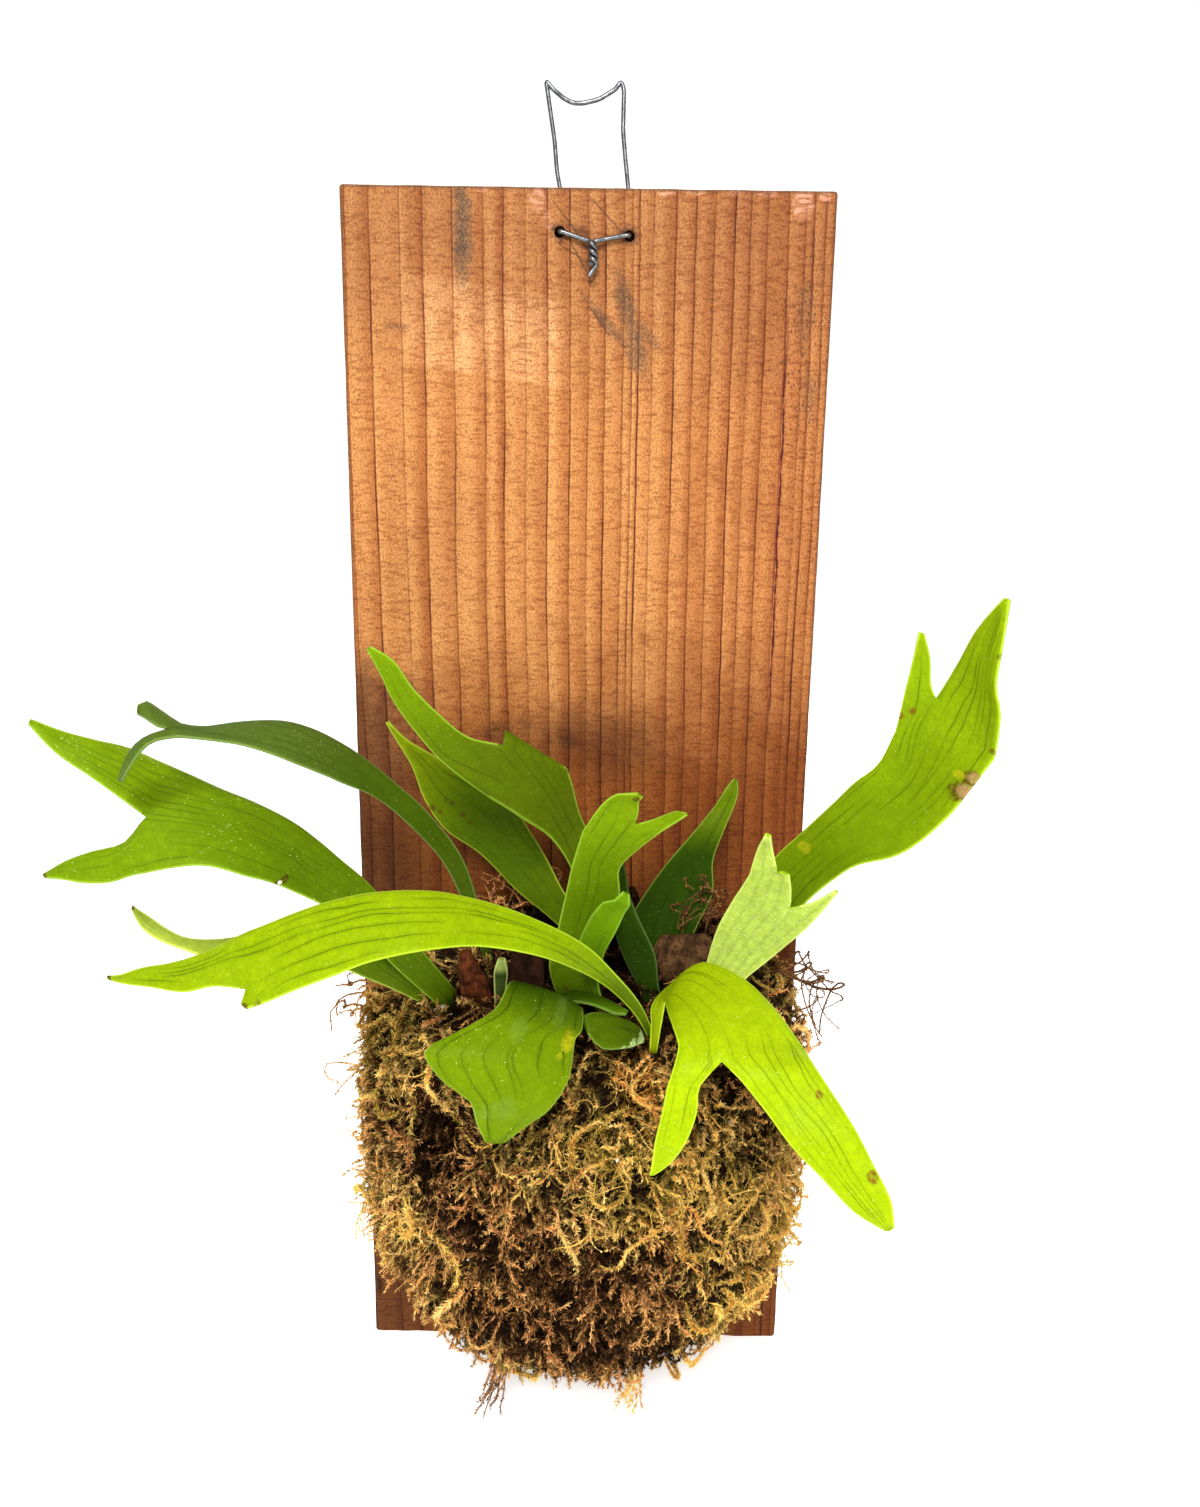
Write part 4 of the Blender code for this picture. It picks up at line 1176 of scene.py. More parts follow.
SHIELD_RIGHT = limb(
    [(31, 30, -52, 18, 1, 0), (31, 32, -44, 22, -1, 0), (32, 33, -36, 23, -3, 0),
     (32, 32, -29, 21, 1, 0), (31, 30, -24, 13, 3, 0)],
)

SHIELD_LEFT = limb(
    [(-14.5, 36, -50, 8, 1, 0), (-14.5, 39, -42, 9, -2, 0), (-14.5, 42, -35, 10, -2, 0),
     (-14, 43, -28, 9, 1, 0), (-14, 43, -23, 5, 1, 0)],
)

CROWN_SCALE = limb(
    [(-29, 34, -50, 8, 4, 0), (-29, 39, -41, 9, -3, 0), (-30, 42, -33, 8, -6, 0),
     (-32, 43, -25, 3, 5, 0)],
)

BUD = limb(
    [(-22.5, 38, -46, 3, 1, 0), (-22, 42, -37, 3.5, 1, 0), (-21.5, 45, -30, 4, 1, 0),
     (-21, 48, -25, 2, 1, 0)],
)

SMALL_DARK = limb(
    [(-9, 44, -53, 2.5, -10, 0), (-8, 46, -44, 3, -25, 20), (-6, 48, -38, 3.5, -60, 50),
     (-1, 50, -35, 4.5, -110, 66), (6, 53, -35, 4.5, -148, 68), (11, 56, -36, 3.5, -149, 57),
     (14, 58, -36, 1.5, -128, 48)],
)

# piece, node, slot, limb, columns, camber, tip and base colours, the base darker as painted shade
# near the crown, the distances between which one turns to the other, veins, their share, scurf
FRONDS = (
    ("far_left_frond", "frond_far_left", "leaf_green", FAR_LEFT, 18, 0.02,
     (0.175, 0.270, 0.003), (0.115, 0.190, 0.003), (60, 125), 7, 0.35, 0.9),
    # The dark arching frond's tip colour is greyed to paint the sheen on the top of its arch
    ("dark_arching_frond", "frond_dark_arch", "leaf_dark", DARK_ARCH, 10, 0.03,
     (0.094, 0.144, 0.022), (0.064, 0.108, 0.002), (85, 115), 3, 0.3, 0.5),
    ("front_left_frond", "frond_front_left", "leaf_bright", FRONT_LEFT, 16, 0.04,
     (0.265, 0.365, 0.002), (0.112, 0.175, 0.002), (30, 70), 5, 0.50, 0.5),
    ("low_left_frond", "frond_low_left", "leaf_green", LOW_LEFT, 10, 0.06,
     (0.330, 0.400, 0.060), (0.120, 0.200, 0.003), (45, 95), 3, 0.4, 0.6),
    ("torn_frond", "frond_torn", "leaf_green", TORN, 22, 0.04,
     (0.170, 0.275, 0.002), (0.095, 0.135, 0.002), (62, 120), 6, 0.5, 0.35),
    ("spotted_frond", "frond_spotted", "leaf_dark", SPOTTED, 16, 0.05,
     (0.215, 0.280, 0.002), (0.076, 0.128, 0.002), (55, 95), 4, 0.35, 0.25),
    ("middle_frond", "frond_middle", "leaf_green", MIDDLE, 14, 0.06,
     (0.165, 0.255, 0.002), (0.115, 0.195, 0.002), (35, 70), 4, 0.5, 0.45),
    ("small_tipped_frond", "frond_small_tip", "leaf_green", SMALL_TIP, 8, 0.06,
     (0.135, 0.245, 0.003), (0.085, 0.160, 0.002), (20, 45), 2, 0.3, 0.9),
    ("dark_right_frond", "frond_dark_right", "leaf_dark", DARK_RIGHT, 14, 0.05,
     (0.122, 0.182, 0.003), (0.028, 0.064, 0.002), (36, 62), 4, 0.3, 0.35),
    ("narrow_dark_frond", "frond_narrow_dark", "leaf_dark", NARROW_DARK, 8, 0.06,
     (0.036, 0.078, 0.002), (0.022, 0.050, 0.002), (20, 50), 2, 0.3, 0.3),
    ("right_frond", "frond_right", "leaf_green", RIGHT, 20, 0.05,
     (0.245, 0.345, 0.003), (0.155, 0.235, 0.002), (60, 135), 7, 0.50, 0.4),
    ("front_right_frond", "frond_front_right", "leaf_bright", FRONT_RIGHT, 20, 0.06,
     (0.330, 0.448, 0.003), (0.290, 0.390, 0.002), (45, 90), 6, 0.48, 0.7),
    ("drooping_frond", "frond_drooping", "leaf_green", DROOPING, 24, 0.05,
     (0.158, 0.240, 0.002), (0.038, 0.076, 0.002), (34, 60), 6, 0.50, 0.8),
    ("small_drooping_frond", "frond_small_droop", "leaf_green", SMALL_DROOP, 8, 0.06,
     (0.085, 0.135, 0.002), (0.060, 0.100, 0.002), (15, 40), 3, 0.3, 0.6),
    ("small_dark_frond", "frond_small_dark", "leaf_dark", SMALL_DARK, 6, 0.06,
     (0.080, 0.150, 0.002), (0.045, 0.085, 0.002), (15, 40), 2, 0.3, 0.3),
)
UNDER_ADDED = (0.09, 0.12, 0.035)
PALE_UNDER = (0.39, 0.50, 0.068)
PALE_TIP = (0.24, 0.38, 0.003)
PALE_BASE = (0.17, 0.28, 0.003)
BUD_TIP = (0.34, 0.40, 0.12)
BUD_BASE = (0.018, 0.042, 0.003)

BROWN = (0.09, 0.035, 0.010)
RUST_SPOT = (0.20, 0.065, 0.010)
TAN = (0.40, 0.25, 0.12)
YELLOW = (0.44, 0.40, 0.012)
ASH = (0.24, 0.34, 0.09)
DOWNY = (0.50, 0.62, 0.30)
CHALK = (0.85, 0.85, 0.80)

# Spots on each frond: place (x, z), reach, colour and share
SPOTS = {
    "small_drooping_frond": (
        ((13.0, -41.2), 0.9, DOWNY, 0.9), ((15.4, -41.8), 1.4, DOWNY, 0.9),
        ((18.2, -42.8), 1.8, DOWNY, 0.9),
    ),
    "drooping_frond": (
        ((-1.3, -32.0), 1.9, YELLOW, 0.8), ((-3.3, -34.0), 0.9, YELLOW, 0.5),
        ((-16.6, -44.7), 3.6, ASH, 0.20), ((-13.6, -28.0), 2.4, ASH, 0.20),
        ((-3.5, -27.5), 2.2, ASH, 0.20), ((-21.4, -46.4), 1.8, ASH, 0.20),
    ),
    "spotted_frond": (
        ((-44.3, 10.1), 1.2, BROWN, 0.75), ((-41.9, 8.9), 0.9, BROWN, 0.65),
        ((-38.3, 11.7), 0.9, BROWN, 0.65), ((-35.3, 8.1), 1.1, BROWN, 0.60),
        ((-33.0, 5.9), 0.7, BROWN, 0.60), ((-40.3, 12.6), 0.7, BROWN, 0.60),
    ),
    "middle_frond": (
        ((15.2, 25.7), 1.0, BROWN, 0.85),
    ),
    "right_frond": (
        ((95.6, 31.4), 2.8, BROWN, 0.9), ((97.6, 35.2), 2.2, BROWN, 0.9),
        ((96.4, 31.8), 2.0, TAN, 0.95), ((98.0, 35.4), 1.6, TAN, 0.95),
        ((95.2, 35.6), 1.2, YELLOW, 0.8), ((101.4, 42.6), 0.9, BROWN, 0.7),
        ((82.8, 47.9), 1.1, RUST_SPOT, 0.8), ((85.5, 49.4), 1.1, RUST_SPOT, 0.8),
        ((61.9, 8.9), 1.9, YELLOW, 0.60), ((100.4, 66.4), 1.3, BROWN, 0.7),
    ),
    "front_right_frond": (
        ((56.2, -28.8), 1.0, RUST_SPOT, 0.85), ((67.0, -42.9), 1.4, RUST_SPOT, 0.85),
        ((71.8, -56.0), 1.1, BROWN, 0.9), ((19.0, -50.6), 0.9, BROWN, 0.5),
    ),
    "front_left_frond": (
        ((-118.8, -20.0), 1.4, BROWN, 0.85), ((-77.0, -16.2), 1.2, BROWN, 0.75),
        ((-74.0, -15.5), 0.9, BROWN, 0.6),
    ),
    "far_left_frond": (
        ((-140.0, 44.0), 1.1, BROWN, 0.7), ((-135.6, 4.6), 1.3, BROWN, 0.7),
        ((-76.2, 3.1), 1.0, BROWN, 0.9), ((-77.9, 2.2), 1.1, BROWN, 0.9),
        ((-77.1, 2.6), 0.6, CHALK, 0.9),
    ),
    "low_left_frond": (
        ((-121.2, -9.0), 1.3, BROWN, 0.7),
    ),
    "torn_frond": (
        ((-14.5, 38.0), 1.2, BROWN, 0.6), ((-3.0, 27.5), 1.2, BROWN, 0.7),
        ((-8.0, 33.0), 1.0, BROWN, 0.5),
    ),
}


def make_fronds():
    for number, row in enumerate(FRONDS, 1):
        name, node, slot, part, columns, camber, tip, base, reach, veins, share, scurf = row
        spots = SPOTS.get(name, ())
        seed = float(number)
        upper = leaf_look(name + "_upper", tip, base, reach, veins, share, scurf, seed, spots)
        pale = tuple(0.75 * a + b for a, b in zip(tip, UNDER_ADDED))
        under = under_look(name + "_under", pale)
        make_blade(name, node, slot, part, columns, camber, upper, under, number)
    # This one shows its underside
    under = under_look("pale_frond_under", PALE_UNDER)
    upper = leaf_look("pale_frond_upper", PALE_TIP, PALE_BASE, (20, 60), 5, 0.5, 0.5, 30.0)
    make_blade("pale_frond", "frond_pale", "leaf_pale", PALE, 18, 0.04, upper, under, 30, flip=True)


def papery_look(name, light, dark, specks):
    """Dry brown tissue with long fibres and darker spots."""
    m = Look(name)
    u, along, width = m.across_along_width()
    lengthwise = m.vector(m.times(u, width, 1.6), m.times(along, 0.10), 0.0)
    fibres = m.noise(lengthwise, 1.0, 4.0, 0.7)
    mottle = m.clouds(0.28, 4.0, 0.65)
    blots = m.clouds(0.75, 3.0, 0.6)
    colour = m.mix(m.rise(mottle, 0.35, 0.66), light, dark)
    colour = m.mix(m.rise(fibres, 0.42, 0.7, 0.7), colour, tuple(c * 0.4 for c in dark))
    colour = m.mix(m.rise(blots, 0.56, 0.66, specks), colour, (0.035, 0.018, 0.010))
    height = m.times_plus(fibres, 1.0, m.times(mottle, 0.6))
    normal = m.bump(height, 0.5, 0.9)
    return m.finish(colour, 0.62, normal, Specular_IOR_Level=0.08)


# Papery pieces: piece, node, limb, columns, camber, look, light and dark colours, specks
PAPERY = (
    ("dry_shield_right", "shield_frond_right", SHIELD_RIGHT, 14, 0.15,
     "dry_shield_tan", (0.17, 0.088, 0.036), (0.050, 0.024, 0.010), 0.85),
    ("dry_shield_left", "shield_frond_left", SHIELD_LEFT, 8, 0.2,
     "dry_shield_dark", (0.060, 0.022, 0.010), (0.022, 0.008, 0.004), 0.4),
    ("papery_scale", "crown_scale", CROWN_SCALE, 10, 0.15,
     "crown_scale_red", (0.22, 0.062, 0.020), (0.045, 0.013, 0.006), 0.5),
)


def make_crown():
    """The dry shield fronds, papery scales and the curled bud at the fern's crown."""
    for seed, row in enumerate(PAPERY, 41):
        name, node, part, columns, camber, look_name, light, dark, specks = row
        look = papery_look(look_name, light, dark, specks)
        make_blade(name, node, "dry_shield", part, columns, camber, look, look, seed)
    bud = leaf_look("curled_bud", BUD_TIP, BUD_BASE, (16, 20), 2, 0.2, 0.05, 44.0)
    make_blade("curled_bud", "frond_bud", "leaf_pale", BUD, 8, 0.1, bud, bud, 44)


# Moss ----------------------------------------------------------------------------------

MOSS_SEED = 7
# The mound's heart, and how far behind it a direction may point
HEART = np.array((MOUND_X, FACE - 10, PLANK_MID + MOUND_Z))
MOUND_SIDE = 0.16
# How far from the heart the search for the mound's surface starts
START_REACH = 60
CORE_REACH = 55
# How deep the core lies, and how much deeper it and the shoots are in hollows
CORE_DEPTH = 3.2
CORE_HOLLOW_DEPTH = 3.0
HOLLOW_DEPTH = 3.2
# The least distance between the moss and the board
BOARD_GAP = 0.7

# The moss's main colours from dark to pale; the darkest also paints the shade in the hollows and
# under the crown
SOOT = np.array((0.078, 0.036, 0.018))
UMBER = np.array((0.32, 0.160, 0.068))
TAWNY = np.array((0.71, 0.390, 0.150))
STRAW = np.array((1.00, 0.72, 0.27))
GOLD = np.array((1.0, 0.70, 0.16))
OLIVE = np.array((0.60, 0.44, 0.14))
RUST = np.array((0.85, 0.36, 0.07))
MOST_OLIVE = 0.16
MOST_RUST = 0.7

# Paler (above 0) and darker patches of the mound: x, z, reach and strength; the darker ones are
# hollows, sunk and painted in shade
PATCHES = (
    (9, -62, 16, 0.95),
    (24, -84, 22, 0.85),
    # These three paint the shade in the crown's dark inside, under the fronds
    (-4, -28, 17, -2.0),
    (20, -30, 15, -2.0),
    (36, -24, 11, -1.5),
    (-15, -85, 15, 0.45),
    (54, -124, 18, 1.1),
    (-54, -56, 18, 1.0),
    (-38, -80, 13, -1.15),
    (4, -128, 26, -1.05),
    (-26, -106, 14, -0.25),
    (40, -68, 9, -0.30),
    (-50, -116, 18, 0.35),
    (54, -92, 18, 0.50),
    (0, -150, 20, 0.15),
)
# Rusty bits: x, z, reach and strength
RUSTY = (
    (18, -60, 9, 1.6),
    (57, -118, 9, 0.6),
    (24, -98, 7, 1.0),
    (-30, -118, 8, 0.6),
)

# How a layer of shoots grows: how many, their length, how tightly they curl, how low
# and high they run, their leaves' length and number, how much paler and how far they
# hang, whether their tips stand out from the mound, and in how many steps they grow
Growth = collections.namedtuple(
    "Growth", "count length curl low high leaf leaves paler hang tips_out steps"
)
THATCH = Growth(2700, 7.0, 0.20, -2.0, 4.2, 1.6, 34, 0.05, 0.75, True, 4)
TANGLE = Growth(560, 14.0, 0.20, -0.5, 4.8, 1.6, 110, 0.25, 0.35, False, 9)
ROPES = Growth(64, 24.0, 0.16, 1.5, 6.5, 1.7, 420, 1.05, 0.25, False, 18)
WISPS = Growth(60, 16.0, 0.16, 1.0, 7.0, 0.8, 40, 0.65, 0.30, False, 14)

# The fringe under the mound, which is longest at its middle
FRINGE_TOP = PLANK_MID + MOUND_Z - 42
FRINGE_FADE = 15
FRINGE_X = -4
FRINGE_HALF_WIDTH = 34
FRINGE_CUT = 0.55

# Layers paler than this keep to the pale patches
PALE_LAYER = 0.5

# Clumps of short shoots: how many clumps, shoots in each, their length, how far apart
# their roots are, their leaves' length and number, and steps
Clumps = collections.namedtuple("Clumps", "count each length spread leaf leaves steps")
TUFTS = Clumps(380, 5, 8.0, 1.4, 1.60, 38, 4)

# Painted shade and light on a piece of moss by its height over the smooth mound: dark deep in,
# brightest a little above it, less bright far out
HEIGHTS = (-3.0, 0.0, 2.5, 5.5, 8.5)
PAINTED_LIGHT = (0.07, 0.27, 1.30, 3.0, 1.5)
# The places of the five main colours on a shoot's scale from dark to pale
TINT_STOPS = (-1.05, -0.45, 0.1, 0.6, 1.15)

# A leaf's half width, and the factors of its colour at its two roots and its tip: the dark roots
# paint shade at the stem and the bright tips paint highlights
LEAFLET_HALF_WIDTH = 0.28
ROOT_TO_TIP = np.array(((0.38, 0.28, 0.19), (0.38, 0.28, 0.19), (2.3, 2.5, 2.2)))
# How far each leaf's brightness strays at random, painting glints and shade on the fine leaves
SHINE_SPREAD = 0.62
SHOOT_SPREAD = 0.42
# The pale yellow that painted highlights too bright to show fade toward, and how far they go
HIGHLIGHT_YELLOW = np.array((1.0, 0.95, 0.48))
HIGHLIGHT_FADE = 0.6


def mound_level(points):
    """1 on the mound's smooth surface, less inside it and more outside."""
    out = np.maximum(FACE - points[:, 1], 0.01)
    across = np.abs(points[:, 0] - MOUND_X) / MOUND_HALF_WIDTH
    rise = points[:, 2] - (PLANK_MID + MOUND_Z) + MOUND_SAG * out
    high = rise > 0
    up = np.abs(rise) / np.where(high, MOUND_UP, MOUND_DOWN)
    corner = np.where(high, MOUND_SHOULDER, MOUND_CHIN)
    ring = (across**corner + up**corner) ** (1 / corner)
    return (ring**MOUND_BOXY + (out / MOUND_OUT) ** MOUND_BOXY) ** (1 / MOUND_BOXY)


def mound_height(points):
    """How far each point is above the smooth mound, and the way out from it."""
    level = mound_level(points)
    step = 0.5
    slope = np.stack(
        [mound_level(points + step * axis) - level for axis in np.eye(3)], axis=1
    ) / step
    steep = np.linalg.norm(slope, axis=1, keepdims=True) + 1e-9
    return (level - 1) / steep[:, 0], slope / steep


def field(points, size, shift=0.0):
    """A smooth random value from about -1 to 1 at each point."""
    offset = Vector((shift, shift * 0.7, -shift))
    return np.array([noise.noise(Vector(point) / size + offset) for point in points])


def unit(vectors):
    return vectors / (np.linalg.norm(vectors, axis=-1, keepdims=True) + 1e-9)


def patchy(points, patches):
    """The summed strength of the patches at each point."""
    total = np.zeros(len(points))
    for x, z, reach, strength in patches:
        apart = (points[:, 0] - x) ** 2 + (points[:, 2] - PLANK_MID - z) ** 2
        total += strength * np.exp(-apart / reach**2)
    return total


def hollow(points):
    """0 over most of the mound, up to 1 in its hollows, which are sunk and painted in shade."""
    deep = -field(points, 11.0, 3.0) * 1.9 - patchy(points, PATCHES) * 0.8
    return np.clip(deep - 0.35, 0.0, 1.0)


def depth_shade(points):
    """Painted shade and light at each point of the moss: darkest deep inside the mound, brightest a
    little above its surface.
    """
    height, _ = mound_height(points)
    return np.interp(height, HEIGHTS, PAINTED_LIGHT)[:, None]


def onto_mound(points, steps, share=1.0):
    """The points, moved by steps onto the mound's smooth surface."""
    for _ in range(steps):
        height, normal = mound_height(points)
        points = points - normal * height[:, None] * share
    return points


def off_board(points, gap=BOARD_GAP):
    """Keeps the points in front of the board."""
    points[..., 1] = np.minimum(points[..., 1], FACE - gap)


def on_mound(rng, count):
    """Points spread evenly over the mound's surface."""
    found = []
    while len(found) < count:
        way = unit(rng.normal(size=(count * 2, 3)))
        # Its sides reach back to the board, behind its heart
        way[:, 1] = np.where(way[:, 1] > MOUND_SIDE, -way[:, 1], way[:, 1])
        points = onto_mound(HEART + way * START_REACH, 12)
        found += [point for point in points if point[1] < FACE - 1.5]
    return np.array(found[:count])


def walk(rng, start, lengths, growth):
    """Shoots that wander over the mound, arching down again or with their tips out."""
    count = len(start)
    steps = growth.steps
    step = (lengths / steps)[:, None]
    _, normal = mound_height(start)
    turn = field(start, 22.0, 5.0) * 5 + rng.normal(0, 1.0, count)
    first = unit(np.cross(normal, (0.0, 1.0, 0.3)))
    second = np.cross(normal, first)
    heading = first * np.cos(turn)[:, None] + second * np.sin(turn)[:, None]
    lower = np.clip((PLANK_MID - 60 - start[:, 2]) / 50, 0.0, 1.0)[:, None]
    drawn = growth.hang * lower
    heading = unit(heading * (1 - drawn) + np.array((0, 0, -1.6)) * drawn)
    bend = rng.normal(0, growth.curl, count)
    points = start + normal * growth.low
    path = [points.copy()]
    sunk = HOLLOW_DEPTH * hollow(start)
    peak = rng.uniform(growth.low, growth.high, count) - sunk
    if growth.tips_out:
        peak = growth.high * rng.uniform(0.15, 1.25, count) - sunk
    for k in range(steps):
        share = (k + 1) / steps
        height, normal = mound_height(points)
        bend = bend * 0.86 + rng.normal(0, growth.curl * 0.55, count)
        side = np.cross(normal, heading)
        heading = unit(heading + side * (bend[:, None] * step))
        rise = share**0.8 if growth.tips_out else math.sin(math.pi * min(1.0, share * 1.12))
        wanted = growth.low + (peak - growth.low) * rise
        climb = np.clip((wanted - height) / (step[:, 0] * 2.0), -0.9, 1.3)
        flat = heading - normal * np.sum(heading * normal, axis=1, keepdims=True)
        heading = unit(unit(flat) + normal * climb[:, None])
        points = points + heading * step
        off_board(points)
        path.append(points.copy())
    return np.stack(path, axis=1)


def frames(paths):
    """The tangent and two cross directions all along each strand."""
    tangent = unit(np.gradient(paths, axis=1))
    guide = np.zeros_like(tangent) + np.array((0.31, 0.52, 0.79))
    first = unit(np.cross(tangent, guide))
    return tangent, first, np.cross(tangent, first)


def stems(paths, radius, tints):
    """Thin three-sided stems along the strands, as points, triangles and colours."""
    _, first, second = frames(paths)
    count, places, _ = paths.shape
    taper = np.linspace(1.0, 0.45, places)[None, :, None]
    rings = []
    for corner in range(3):
        turn = math.tau * corner / 3
        away = first * math.cos(turn) + second * math.sin(turn)
        rings.append(paths + away * radius[:, None, None] * taper)
    points = np.stack(rings, axis=2).reshape(-1, 3)
    index = np.arange(count * places * 3).reshape(count, places, 3)
    triangles = []
    for corner in range(3):
        a = index[:, :-1, corner].ravel()
        b = index[:, :-1, (corner + 1) % 3].ravel()
        c = index[:, 1:, (corner + 1) % 3].ravel()
        d = index[:, 1:, corner].ravel()
        triangles += [np.stack([a, b, c], 1), np.stack([a, c, d], 1)]
    # Painted shade and light by height over the mound
    colours = np.repeat(tints, places * 3, axis=0) * depth_shade(points)
    return points, np.concatenate(triangles), colours


def leaflets(rng, paths, radius, reach, each, tints):
    """Hair-thin pointed leaves all round the strands, one triangle each."""
    tangent, first, second = frames(paths)
    count, places, _ = paths.shape
    strand = np.repeat(np.arange(count), each)
    total = len(strand)
    where = rng.uniform(0.01, 0.999, total) * (places - 1)
    low = where.astype(int)
    part = (where - low)[:, None]

    def between(values):
        return values[strand, low] * (1 - part) + values[strand, low + 1] * part

    middle = between(paths)
    ahead = unit(between(tangent))
    turn = rng.uniform(0, math.tau, total)[:, None]
    away = unit(between(first) * np.cos(turn) + between(second) * np.sin(turn))
    size = (reach[strand] * rng.uniform(0.5, 1.3, total))[:, None]
    size = size * (1 - 0.4 * (where / (places - 1))[:, None] ** 3)
    lean = rng.uniform(0.35, 0.85, total)[:, None]
    base = middle + away * radius[strand][:, None] * 0.6
    wide = LEAFLET_HALF_WIDTH * rng.uniform(0.7, 1.3, total)[:, None]
    wide = wide * np.maximum(1.0, size / 1.5)
    across = unit(np.cross(ahead, away) + ahead * rng.uniform(-0.6, 0.6, total)[:, None])
    hook = rng.normal(0, 0.25, (total, 3))
    tip = base + unit(ahead * (1.25 - lean) + away * lean + hook) * size
    points = np.stack([base - across * wide, base + across * wide, tip], axis=1)
    # Painted light on each leaf: a random glint, times the painted shade and light by height
    shine = (np.exp(rng.normal(0, SHINE_SPREAD, (total, 1))) * depth_shade(middle))[:, None, :]
    # Dark roots paint shade at the stem, bright tips paint highlights
    colours = tints[strand][:, None, :] * ROOT_TO_TIP[None] * shine
    triangles = np.arange(total * 3).reshape(-1, 3)
    return points.reshape(-1, 3), triangles, colours.reshape(-1, 3)


def joined(parts):
    """Several (points, triangles, colours) as one."""
    points, triangles, colours, start = [], [], [], 0
    for some_points, some_triangles, some_colours in parts:
        points.append(some_points)
        triangles.append(some_triangles + start)
        colours.append(some_colours)
        start += len(some_points)
    return np.concatenate(points), np.concatenate(triangles), np.concatenate(colours)


def mesh_from(name, points, triangles, colours):
    mesh = bpy.data.meshes.new(name)
    mesh.vertices.add(len(points))
    mesh.vertices.foreach_set("co", (points * MM).astype(np.float32).ravel())
    mesh.loops.add(len(triangles) * 3)
    mesh.loops.foreach_set("vertex_index", triangles.astype(np.int32).ravel())
    mesh.polygons.add(len(triangles))
    mesh.polygons.foreach_set("loop_start", np.arange(0, len(triangles) * 3, 3, dtype=np.int32))
    mesh.update(calc_edges=True)
    tint = mesh.attributes.new("tint", "FLOAT_COLOR", "POINT")
    # Painted highlights too bright to show fade toward pale yellow
    over = np.maximum(1.0, colours.max(axis=1, keepdims=True))
    colours = colours / over + (HIGHLIGHT_YELLOW - colours / over) * HIGHLIGHT_FADE * (1 - 1 / over)
    full = np.concatenate([colours, np.ones((len(colours), 1))], axis=1)
    tint.data.foreach_set("color", full.astype(np.float32).ravel())
    return mesh


def moss_tints(rng, start, paler):
    """Each shoot's colour: its patch's, its clump's and a little of its own."""
    count = len(start)
    place = field(start, 14.0, 2.0) + rng.normal(0, 0.34, count) + paler
    # Pale patches, and painted shade in the darker patches and hollows
    place += patchy(start, PATCHES) - 0.7 * hollow(start)
    shades = (SOOT, UMBER, TAWNY, STRAW, GOLD)
    channels = [np.interp(place, TINT_STOPS, channel) for channel in zip(*shades)]
    tints = np.stack(channels, axis=1)
    bright = tints.mean(axis=1, keepdims=True) / TAWNY.mean()
    rusty = np.clip(patchy(start, RUSTY) + rng.normal(-0.45, 0.35, count), 0.0, MOST_RUST)[:, None]
    olive = field(start, 19.0, 8.0) + rng.normal(-0.45, 0.25, count)
    olive = np.clip(olive, 0.0, MOST_OLIVE)[:, None]
    tints = tints * (1 - olive) + OLIVE * bright * olive
    tints = tints * np.exp(rng.normal(0, SHOOT_SPREAD, (count, 1)))
    return tints * (1 - rusty) + RUST * bright * rusty


def tufts(rng, clumps):
    """Clumps of short shoots that fan out from the mound and droop."""
    roots = on_mound(rng, clumps.count)
    _, normal = mound_height(roots)
    side = unit(np.cross(normal, rng.normal(size=normal.shape)))
    way = normal + side * rng.uniform(0.4, 1.7, (clumps.count, 1)) + np.array((0.0, 0.0, -0.7))
    clump = np.repeat(np.arange(clumps.count), clumps.each)
    total = len(clump)
    points = roots[clump] - normal[clump] * 2.5 + rng.normal(0, clumps.spread, (total, 3))
    heading = unit(unit(way)[clump] + rng.normal(0, 0.36, (total, 3)))
    bend = rng.normal(0, 0.10, (total, 3))
    length = clumps.length * rng.uniform(0.7, 1.3, clumps.count)[clump]
    length = length * rng.uniform(0.6, 1.25, total)
    low = np.clip((FRINGE_TOP - points[:, 2]) / FRINGE_FADE, 0.0, 1.0)
    aside = np.clip(np.abs(points[:, 0] - FRINGE_X) / FRINGE_HALF_WIDTH, 0.0, 1.0)
    length = length * (1 - FRINGE_CUT * low * aside)
    step = (length / clumps.steps)[:, None]
    off_board(points)
    path = [points]
    for _ in range(clumps.steps):
        heading = unit(heading + (bend + np.array((0.0, 0.0, -0.075))) * step * 0.5)
        points = points + heading * step
        off_board(points)
        path.append(points)
    tints = moss_tints(rng, roots, 0.20)[clump] * rng.uniform(0.75, 1.25, (total, 1))
    radius = rng.uniform(0.10, 0.20, total)
    sizes = rng.uniform(0.8, 1.2, total) * clumps.leaf
    paths = np.stack(path, axis=1)
    return joined([
        stems(paths, radius, tints * 0.85),
        leaflets(rng, paths, radius, sizes, clumps.leaves, tints),
    ])


def moss_shoots(rng, growth):
    start = on_mound(rng, growth.count)
    if growth.paler > PALE_LAYER:
        # The ropes and wisps keep to the pale patches
        pool = on_mound(rng, growth.count * 3)
        order = np.argsort(-(patchy(pool, PATCHES) + rng.normal(0, 0.32, len(pool))))
        start = pool[order[: growth.count]]
    lengths = rng.uniform(0.55, 1.45, growth.count) * growth.length
    paths = walk(rng, start, lengths, growth)
    tints = moss_tints(rng, start, growth.paler)
    radius = rng.uniform(0.10, 0.22, growth.count)
    sizes = rng.uniform(0.75, 1.25, growth.count) * growth.leaf
    return joined([
        stems(paths, radius, tints * 0.85),
        leaflets(rng, paths, radius, sizes, growth.leaves, tints),
    ])


